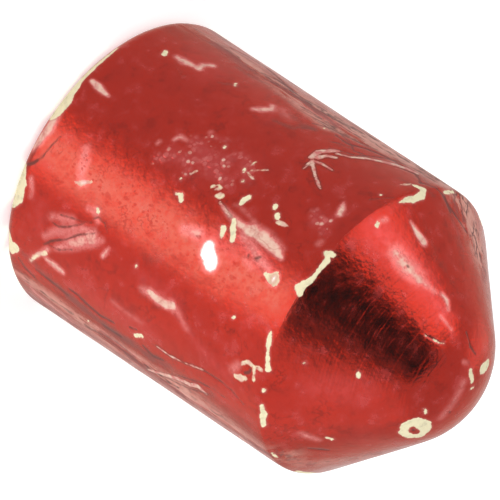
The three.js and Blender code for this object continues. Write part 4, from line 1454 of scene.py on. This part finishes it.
def panel(name, about, azimuth, elevation, distance, size, strength, softness=(0.2, 0.2), tilt=0):
    """A flat card that faces the holder and shines evenly, fading towards its edges."""
    away = direction(azimuth, elevation)
    deselect()
    bpy.ops.mesh.primitive_plane_add(size=1, location=about + away * distance)
    card = named(name)
    facing = (-away).to_track_quat("Z", "Y").to_matrix() @ Matrix.Rotation(math.radians(tilt), 3, "Z")
    card.rotation_euler = facing.to_euler()
    card.scale = (*size, 1)
    shine = bpy.data.materials.new(name)
    shine.use_nodes = True
    tree = shine.node_tree
    tree.nodes.clear()
    across = add(tree, "SeparateXYZ", {"Vector": add(tree, "TexCoord").outputs["UV"]})
    shares = []
    for axis, soft in zip((0, 1), softness):
        from_middle = math_of(tree, "ABSOLUTE", math_of(tree, "SUBTRACT", across.outputs[axis], 0.5))
        shares.append(span(tree, from_middle, 0.5, 0.5 - soft))
    light = add(tree, "Emission", {"Color": (1, 1, 1, 1), "Strength": strength})
    ghost = add(tree, "BsdfTransparent")
    cover = math_of(tree, "MULTIPLY", *shares)
    mixed = add(tree, "MixShader", {0: cover, 1: ghost.outputs[0], 2: light.outputs[0]})
    end = tree.nodes.new("ShaderNodeOutputMaterial")
    tree.links.new(mixed.outputs[0], end.inputs["Surface"])
    card.data.materials.append(shine)
    card.visible_camera = False
    card.visible_shadow = False
    return card


def flag(*settings, **more):
    """A card that only reflections see."""
    card = panel(*settings, **more)
    card.visible_diffuse = False
    return card


def floor():
    deselect()
    bpy.ops.mesh.primitive_plane_add(size=6, location=(0, 0, cad_box[0].z - 0.01 * MM))
    ground = named("floor")
    surface, tree, shader = new_material("floor")
    grain = noise_of(tree, object_place(tree), 60.0)
    tone = blend_colour(tree, grain, (0.84, 0.84, 0.84, 1), (0.87, 0.87, 0.87, 1))
    wire(tree, tone, shader.inputs["Base Color"])
    wire(tree, tone, shader.inputs["Emission Color"])
    seen = add(tree, "LightPath").outputs["Is Camera Ray"]
    wire(tree, math_of(tree, "MULTIPLY", seen, 0.6), shader.inputs["Emission Strength"])
    set_up(shader, Roughness=0.9, Specular_IOR_Level=0.1)
    end = shader.outputs[0].links[0].to_node
    below = add(tree, "NewGeometry").outputs["Backfacing"]
    ghost = add(tree, "BsdfTransparent")
    sides = add(tree, "MixShader", {0: below, 1: shader.outputs[0], 2: ghost.outputs[0]})
    tree.links.new(sides.outputs[0], end.inputs["Surface"])
    ground.data.materials.append(surface)
    ground.visible_glossy = False
    ground.visible_shadow = False


def world(stage):
    """White where it is seen directly or in a reflection, and softer on matt surfaces."""
    scene = bpy.context.scene
    scene.world = bpy.data.worlds.new("studio")
    scene.world.use_nodes = True
    tree = scene.world.node_tree
    tree.nodes.clear()
    path = add(tree, "LightPath").outputs
    seen = math_of(tree, "MAXIMUM", path["Is Camera Ray"], path["Is Glossy Ray"])
    seen = math_of(tree, "MAXIMUM", seen, path["Is Transmission Ray"])
    strength = span(tree, seen, 0.0, 1.0, stage.ambient, 1.0)
    sky = add(tree, "Background", {"Color": (1, 1, 1, 1), "Strength": strength})
    end = tree.nodes.new("ShaderNodeOutputWorld")
    tree.links.new(sky.outputs[0], end.inputs["Surface"])


def camera(stage):
    elevation, roll = stage.elevation, stage.roll
    towards = Vector((0, -math.cos(elevation), math.sin(elevation)))
    level_right = Vector((1, 0, 0))
    level_up = towards.cross(level_right)
    right = level_right * math.cos(roll) + level_up * math.sin(roll)
    up = level_up * math.cos(roll) - level_right * math.sin(roll)
    aim = Vector((0, 0, (cad_box[0].z + cad_box[1].z) / 2)) + right * stage.aim_right + up * stage.aim_up
    data = bpy.data.cameras.new("camera")
    eye = bpy.data.objects.new("camera", data)
    bpy.context.scene.collection.objects.link(eye)
    turn = Matrix((right, up, towards)).transposed().to_4x4()
    eye.matrix_world = Matrix.Translation(aim + towards * stage.distance) @ turn
    data.lens = data.sensor_width * stage.distance / stage.frame_width
    data.clip_end = 10 * stage.distance
    bpy.context.scene.camera = eye


# ---- Operators ----


class HOLDER_OT_stage(bpy.types.Operator):
    """Add the floor, the light and the camera"""

    bl_idname = "chalk_holder.stage"
    bl_label = "Stage"

    def execute(self, context):
        stage = context.scene.holder_stage
        body_middle = Vector((0, 0, CAP_TOP / 2))
        nose_middle = Vector((0, 0, (PARTING + CAP_TOP) / 2))
        world(stage)
        floor()
        panel("key_panel", body_middle, 20, -14, 0.5, (0.50, 1.0), stage.key_strength, (0.34, 0.12))
        panel("fill_panel", body_middle, 80, -2, 0.62, (1.30, 1.7), stage.fill_strength, (0.16, 0.12))
        panel("side_panel", nose_middle, -72, 36, 0.45, (0.46, 0.40), stage.side_strength, (0.25, 0.3))
        panel("back_panel", body_middle, 215, 30, 0.7, (0.36, 0.6), stage.back_strength, (0.3, 0.2))
        flag("grey_flag", nose_middle, -1, 58, 0.42, (0.52, 0.32), 0.30, (0.16, 0.12), 12)
        flag("black_flag", nose_middle, -7, 58, 0.38, (0.26, 0.27), 0.03, (0.20, 0.14), 12)
        flag("rear_flag", body_middle, 180, -30, 0.6, (1.9, 0.8), 0.82, (0.12, 0.3))
        camera(stage)
        context.scene.view_settings.view_transform = "Standard"
        return {"FINISHED"}


class HOLDER_OT_materials(bpy.types.Operator):
    """Build the finishes"""

    bl_idname = "chalk_holder.materials"
    bl_label = "Finishes"

    def execute(self, context):
        build_materials(context.scene)
        return {"FINISHED"}


class HOLDER_OT_barrel(bpy.types.Operator):
    """Add the lacquered barrel"""

    bl_idname = "chalk_holder.barrel"
    bl_label = "Barrel"

    def execute(self, context):
        body = context.scene.holder_body
        outline = outlines(body)
        surface = Surface(outline)
        tail_hole = BORE_RADIUS - body.tail_ledge
        groove = BORE_RADIUS + body.clip_groove
        lip = 0.4 * MM
        mouth = outline.barrel[-1][1]
        bore = [
            (BORE_RADIUS + lip, mouth),
            (BORE_RADIUS, mouth - lip),
            (BORE_RADIUS, SLEEVE_BOTTOM),
            (groove, SLEEVE_BOTTOM),
            (groove, PLUG_TOP),
            (BORE_RADIUS, PLUG_TOP),
            (BORE_RADIUS, body.tail_lip),
            (tail_hole, body.tail_lip),
            (tail_hole, lip),
            (tail_hole + lip, 0),
        ]
        shell = turned("barrel_shell", outline.barrel + bore, body.facets)
        mark_shell(shell, surface, outline, context.scene.lacquer_finish)
        coat_shell(shell, surface)
        seat(shell, "barrel", "holder", "red_lacquer")
        return {"FINISHED"}


class HOLDER_OT_nose(bpy.types.Operator):
    """Add the lacquered nose cap"""

    bl_idname = "chalk_holder.nose"
    bl_label = "Nose cap"

    def execute(self, context):
        body, parts = context.scene.holder_body, context.scene.inside_parts
        outline = outlines(body)
        surface = Surface(outline)
        slope = math.tan(body.cone_angle)
        base = outline.nose[0][1]
        inner = BARREL_RADIUS - body.nose_wall / math.cos(body.cone_angle)
        corner = outline.tip_centre + body.tip_radius / math.sin(body.cone_angle) - BARREL_RADIUS / slope
        neck_bore = SKIRT_RADIUS - parts.neck_step + SEAT_GAP
        hollow = [
            (body.roof_radius, corner + (inner - body.roof_radius) / slope),
            (neck_bore, corner + (inner - neck_bore) / slope),
            (neck_bore, base),
        ]
        top_down = [(0, hollow[0][1])] + hollow
        shell = turned("nose_shell", top_down + outline.nose, body.facets)
        mark_shell(shell, surface, outline, context.scene.lacquer_finish)
        coat_shell(shell, surface)
        seat(shell, "nose_cap", "cap", "red_lacquer")
        return {"FINISHED"}


class HOLDER_OT_base(bpy.types.Operator):
    """Add the base plug with its clip, pot magnet and screw"""

    bl_idname = "chalk_holder.base"
    bl_label = "Base"

    def execute(self, context):
        body, parts = context.scene.holder_body, context.scene.inside_parts
        recess = POT_RADIUS + SEAT_GAP
        recess_top = POT_TOP + SEAT_GAP
        shank_hole = parts.shank_radius + SEAT_GAP
        plug_radius = BORE_RADIUS - body.tail_ledge - SEAT_GAP
        flange_bottom = body.tail_lip + SEAT_GAP
        plug = turned("base_plug_turned", [
            (recess, 0), (plug_radius, 0), (plug_radius, flange_bottom), (SKIRT_RADIUS, flange_bottom),
            (SKIRT_RADIUS, PLUG_TOP), (shank_hole, PLUG_TOP), (shank_hole, recess_top), (recess, recess_top),
        ])
        round_edges(plug, 0.25 * MM)
        seat(plug, "base_plug", "holder", "turned_brass", named_material("lathe_brass"))

        floor_bottom = POT_TOP - parts.pot_wall
        pot_inner = POT_RADIUS - parts.pot_wall
        pot = turned("magnet_pot_drawn", [
            (pot_inner, POT_BOTTOM), (POT_RADIUS, POT_BOTTOM), (POT_RADIUS, POT_TOP), (shank_hole, POT_TOP),
            (SCREW_HEAD + SEAT_GAP, floor_bottom), (pot_inner, floor_bottom),
        ], 120)
        round_edges(pot, 0.3 * MM, 3)
        seat(pot, "magnet_pot", "holder", "plated_steel", named_material("nickel_plate"))

        hole = SCREW_HEAD + 4 * SEAT_GAP
        magnet = turned("pot_magnet_ring", [
            (hole, MAGNET_BOTTOM), (MAGNET_RADIUS, MAGNET_BOTTOM),
            (MAGNET_RADIUS, MAGNET_TOP), (hole, MAGNET_TOP),
        ], 120)
        round_edges(magnet, 0.15 * MM)
        seat(magnet, "pot_magnet", "holder", "ferrite", named_material("hard_ferrite"))

        self.screw(parts.shank_radius, floor_bottom)
        self.clip(parts.clip_width)
        return {"FINISHED"}

    def screw(self, shank, floor_bottom):
        """The countersunk screw, with a hexagon socket and a pointed thread."""
        pitch, depth = 0.7 * MM, 0.22 * MM
        socket_radius, socket_depth = 1.2 * MM, 0.9 * MM
        turns = int((SCREW_TOP - POT_TOP - pitch) / pitch)
        thread = []
        for index in range(turns):
            foot = POT_TOP + 0.5 * pitch + index * pitch
            thread += [(shank - depth, foot), (shank, foot + pitch / 2)]
        screw = turned("base_screw_turned", [
            (0, SCREW_BOTTOM), (SCREW_HEAD, SCREW_BOTTOM), (SCREW_HEAD, floor_bottom), (shank, POT_TOP),
            *thread, (shank - depth, SCREW_TOP - 0.3 * pitch), (shank - 2 * depth, SCREW_TOP), (0, SCREW_TOP),
        ], 64)
        deselect()
        bpy.ops.mesh.primitive_cylinder_add(
            vertices=6, radius=socket_radius, depth=2 * socket_depth, location=(0, 0, SCREW_BOTTOM)
        )
        cut(screw, named("socket"))
        round_edges(screw, 0.08 * MM, 2, 50)
        seat(screw, "base_screw", "holder", "plated_steel", named_material("nickel_plate"))

    def clip(self, width):
        """An open spring ring with an ear at each end for the pliers."""
        opening = math.radians(26)
        ear, ear_hole = 1.9 * MM, 0.75 * MM
        inner = CLIP_RADIUS - width
        thickness = CLIP_TOP - CLIP_BOTTOM
        middle = (CLIP_TOP + CLIP_BOTTOM) / 2
        deselect()
        bpy.ops.mesh.primitive_plane_add(
            size=1, location=((inner + CLIP_RADIUS) / 2, 0, middle), rotation=(math.pi / 2, 0, 0)
        )
        ring = named("plug_clip_ring")
        ring.scale = (width, thickness, 1)
        bpy.ops.object.transform_apply(location=True, rotation=True, scale=True)
        bpy.ops.object.mode_set(mode="EDIT")
        bpy.ops.mesh.select_all(action="SELECT")
        bpy.ops.mesh.spin(steps=120, angle=2 * math.pi - opening, center=(0, 0, 0), axis=(0, 0, 1))
        tidy_mesh()
        bpy.ops.object.mode_set(mode="OBJECT")
        x, y = points_of(ring)[:, :2].mean(axis=0)
        ring.rotation_euler.z = -math.pi - math.atan2(y, x)
        bpy.ops.object.transform_apply(location=True, rotation=True, scale=True)
        reach = inner - ear / 2
        for side in (-1, 1):
            turn = side * (opening / 2 + ear / inner)
            spot = (reach * math.cos(turn), reach * math.sin(turn), middle)
            deselect()
            bpy.ops.mesh.primitive_cylinder_add(vertices=40, radius=ear, depth=thickness, location=spot)
            join_solid(ring, named("ear"))
            deselect()
            bpy.ops.mesh.primitive_cylinder_add(
                vertices=24, radius=ear_hole, depth=2 * thickness, location=spot
            )
            cut(ring, named("ear_hole"))
        round_edges(ring, 0.1 * MM, 2, 50)
        seat(ring, "plug_clip", "holder", "spring_steel", named_material("blackened_steel"))


class HOLDER_OT_chalk(bpy.types.Operator):
    """Add the chalk cube with its wrapper, felt and rubber sleeve"""

    bl_idname = "chalk_holder.chalk"
    bl_label = "Chalk"

    def execute(self, context):
        parts = context.scene.inside_parts
        self.sleeve(parts)
        self.felt(parts)
        self.cube(parts)
        self.label(parts)
        return {"FINISHED"}

    def sleeve(self, parts):
        """Moulded rubber, round outside and square inside."""
        pocket = LABEL_HALF + parts.sleeve_play
        deselect()
        bpy.ops.mesh.primitive_cylinder_add(
            vertices=160, radius=SLEEVE_RADIUS, depth=SLEEVE_TOP - SLEEVE_BOTTOM,
            location=(0, 0, (SLEEVE_TOP + SLEEVE_BOTTOM) / 2),
        )
        piece = named("chalk_sleeve_moulded")
        bpy.ops.object.transform_apply(location=True, rotation=True, scale=True)
        corner = parts.chalk_corner + pocket - CHALK_HALF
        cut(piece, block("pocket", pocket, SLEEVE_BOTTOM + parts.sleeve_floor, SLEEVE_TOP + 5 * MM, corner))
        round_edges(piece, 0.4 * MM, 3, 50)
        seat(piece, "chalk_sleeve", "holder", "black_rubber", named_material("moulded_rubber"))

    def felt(self, parts):
        """A square of felt under the cube."""
        piece = block("chalk_felt_square", FELT_HALF, FELT_BOTTOM, FELT_TOP, parts.chalk_corner)
        round_edges(piece, 0.2 * MM, 2, 50)
        fuzz(piece, 0.25 * MM)
        seat(piece, "chalk_felt", "holder", "green_felt", named_material("pressed_felt"))

    def cube(self, parts):
        """A pressed block with worn edges and the hollow that the cue's tip rubs in its top."""
        piece = block("chalk_cube_pressed", CHALK_HALF, CHALK_BOTTOM, CHALK_TOP, parts.chalk_corner)
        ball = (parts.dish_radius ** 2 + parts.dish_depth ** 2) / (2 * parts.dish_depth)
        deselect()
        bpy.ops.mesh.primitive_uv_sphere_add(
            segments=96, ring_count=64, radius=ball, location=(0, 0, CHALK_TOP - parts.dish_depth + ball)
        )
        cut(piece, named("dish"))
        round_edges(piece, 0.35 * MM, 3, 25)
        apply_modifier(piece, "REMESH", "Even mesh", mode="VOXEL", voxel_size=parts.chalk_grain)
        apply_modifier(piece, "SMOOTH", "Worn edges", factor=0.5, iterations=3)
        points = points_of(piece)
        from_axis = np.hypot(points[:, 0], points[:, 1])
        top, dish, rim = CHALK_TOP / MM, parts.dish_depth / MM, parts.dish_radius / MM
        rubbed = rise(points[:, 2], top - dish - 0.6, top - dish) * rise(-from_axis, -rim - 1, 1 - rim)
        relief(piece, "worn", np.ones(len(points)), -0.16 * MM, 1.1 * MM)
        relief(piece, "crumbled", rise(points[:, 2], top - 4, top - 0.5), -0.22 * MM, 3.2 * MM)
        store(piece, "rubbed", rubbed)
        seat(piece, "chalk_cube", "holder", "blue_chalk", named_material("pressed_chalk"))

    def label(self, parts):
        """Blank paper round the cube's four sides, with a scuffed upper edge."""
        corner = parts.chalk_corner + LABEL_HALF - CHALK_HALF
        piece = block("chalk_label_paper", LABEL_HALF, CHALK_BOTTOM, LABEL_TOP, corner, 8)
        choose(piece, "FACE", lambda face: abs(face.normal.z) > 0.5)
        bpy.ops.mesh.delete(type="FACE")
        bpy.ops.mesh.select_mode(type="VERT")
        bpy.ops.mesh.select_all(action="SELECT")
        bpy.ops.mesh.subdivide(number_cuts=14)
        tidy_mesh()
        bpy.ops.object.mode_set(mode="OBJECT")
        apply_modifier(piece, "SOLIDIFY", "Paper", thickness=parts.paper, offset=-1)
        top, heights = LABEL_TOP / MM, points_of(piece)[:, 2]
        relief(piece, "scuffed", rise(heights, top - 2.5, top), -0.12 * MM, 1.4 * MM)
        seat(piece, "chalk_label", "holder", "label_paper", named_material("wrapper_paper"))


class HOLDER_OT_cap_inside(bpy.types.Operator):
    """Add the spigot, the seal and the felt of the nose cap"""

    bl_idname = "chalk_holder.cap_inside"
    bl_label = "Cap inside"

    def execute(self, context):
        parts = context.scene.inside_parts
        skirt_inner = SKIRT_RADIUS - parts.skirt_wall
        neck = SKIRT_RADIUS - parts.neck_step
        neck_inner = neck - parts.neck_wall
        groove_low, groove_high = SEAL_BOTTOM - parts.seal_gap, SEAL_TOP + parts.seal_gap
        section = (SEAL_TOP - SEAL_BOTTOM) / 2
        groove = SEAL_RADIUS - 2 * section - parts.seal_gap
        lead = 0.6 * MM
        spigot = turned("cap_spigot_turned", [
            (skirt_inner, SKIRT_BOTTOM), (SKIRT_RADIUS - lead, SKIRT_BOTTOM),
            (SKIRT_RADIUS, SKIRT_BOTTOM + lead), (SKIRT_RADIUS, groove_low),
            (groove, groove_low), (groove, groove_high), (SKIRT_RADIUS, groove_high),
            (SKIRT_RADIUS, MOUTH), (neck, MOUTH), (neck, NECK_TOP), (neck_inner, NECK_TOP),
            (neck_inner, MOUTH - parts.web), (skirt_inner, MOUTH - parts.web),
        ], 200)
        round_edges(spigot, 0.15 * MM)
        seat(spigot, "cap_spigot", "cap", "turned_brass", named_material("lathe_brass"))

        deselect()
        bpy.ops.mesh.primitive_torus_add(
            major_radius=SEAL_RADIUS - section, minor_radius=section, major_segments=200, minor_segments=28,
            location=(0, 0, (SEAL_TOP + SEAL_BOTTOM) / 2),
        )
        seal = named("cap_seal_ring")
        bpy.ops.object.transform_apply(location=True, rotation=True, scale=True)
        seat(seal, "cap_seal", "seal_ring", "black_rubber", named_material("moulded_rubber"))

        disc = turned("roof_felt_disc", [
            (0, ROOF_FELT_BOTTOM), (ROOF_FELT_RADIUS, ROOF_FELT_BOTTOM), (ROOF_FELT_RADIUS, ROOF_FELT_TOP),
            (0, ROOF_FELT_TOP),
        ], 96)
        round_edges(disc, 0.3 * MM, 3)
        fuzz(disc, 0.2 * MM)
        seat(disc, "roof_felt", "cap", "green_felt", named_material("pressed_felt"))
        return {"FINISHED"}


OPERATORS = [
    HOLDER_OT_stage,
    HOLDER_OT_materials,
    HOLDER_OT_barrel,
    HOLDER_OT_nose,
    HOLDER_OT_base,
    HOLDER_OT_chalk,
    HOLDER_OT_cap_inside,
]


class HOLDER_PT_panel(bpy.types.Panel):
    """The holder's pieces and settings"""

    bl_label = "Chalk Holder"
    bl_idname = "HOLDER_PT_panel"
    bl_space_type = "VIEW_3D"
    bl_region_type = "UI"
    bl_category = "Chalk Holder"

    def draw(self, context):
        layout = self.layout
        for operator in OPERATORS:
            layout.operator(operator.bl_idname)
        for name in SETTINGS:
            group = getattr(context.scene, name)
            box = layout.box()
            for key in group.__annotations__:
                box.prop(group, key)


SETTINGS = {
    "holder_body": HolderBody,
    "inside_parts": InsideParts,
    "lacquer_finish": LacquerFinish,
    "inside_finish": InsideFinish,
    "holder_stage": StageSettings,
}


def register():
    for kind in (*SETTINGS.values(), *OPERATORS, HOLDER_PT_panel):
        bpy.utils.register_class(kind)
    for name, kind in SETTINGS.items():
        setattr(bpy.types.Scene, name, PointerProperty(type=kind))


def unregister():
    for name in SETTINGS:
        delattr(bpy.types.Scene, name)
    for kind in reversed((*SETTINGS.values(), *OPERATORS, HOLDER_PT_panel)):
        bpy.utils.unregister_class(kind)


def main():
    register()
    bpy.ops.chalk_holder.stage()
    bpy.ops.chalk_holder.materials()
    bpy.ops.chalk_holder.barrel()
    bpy.ops.chalk_holder.nose()
    bpy.ops.chalk_holder.base()
    bpy.ops.chalk_holder.chalk()
    bpy.ops.chalk_holder.cap_inside()


if __name__ == "__main__":
    main()
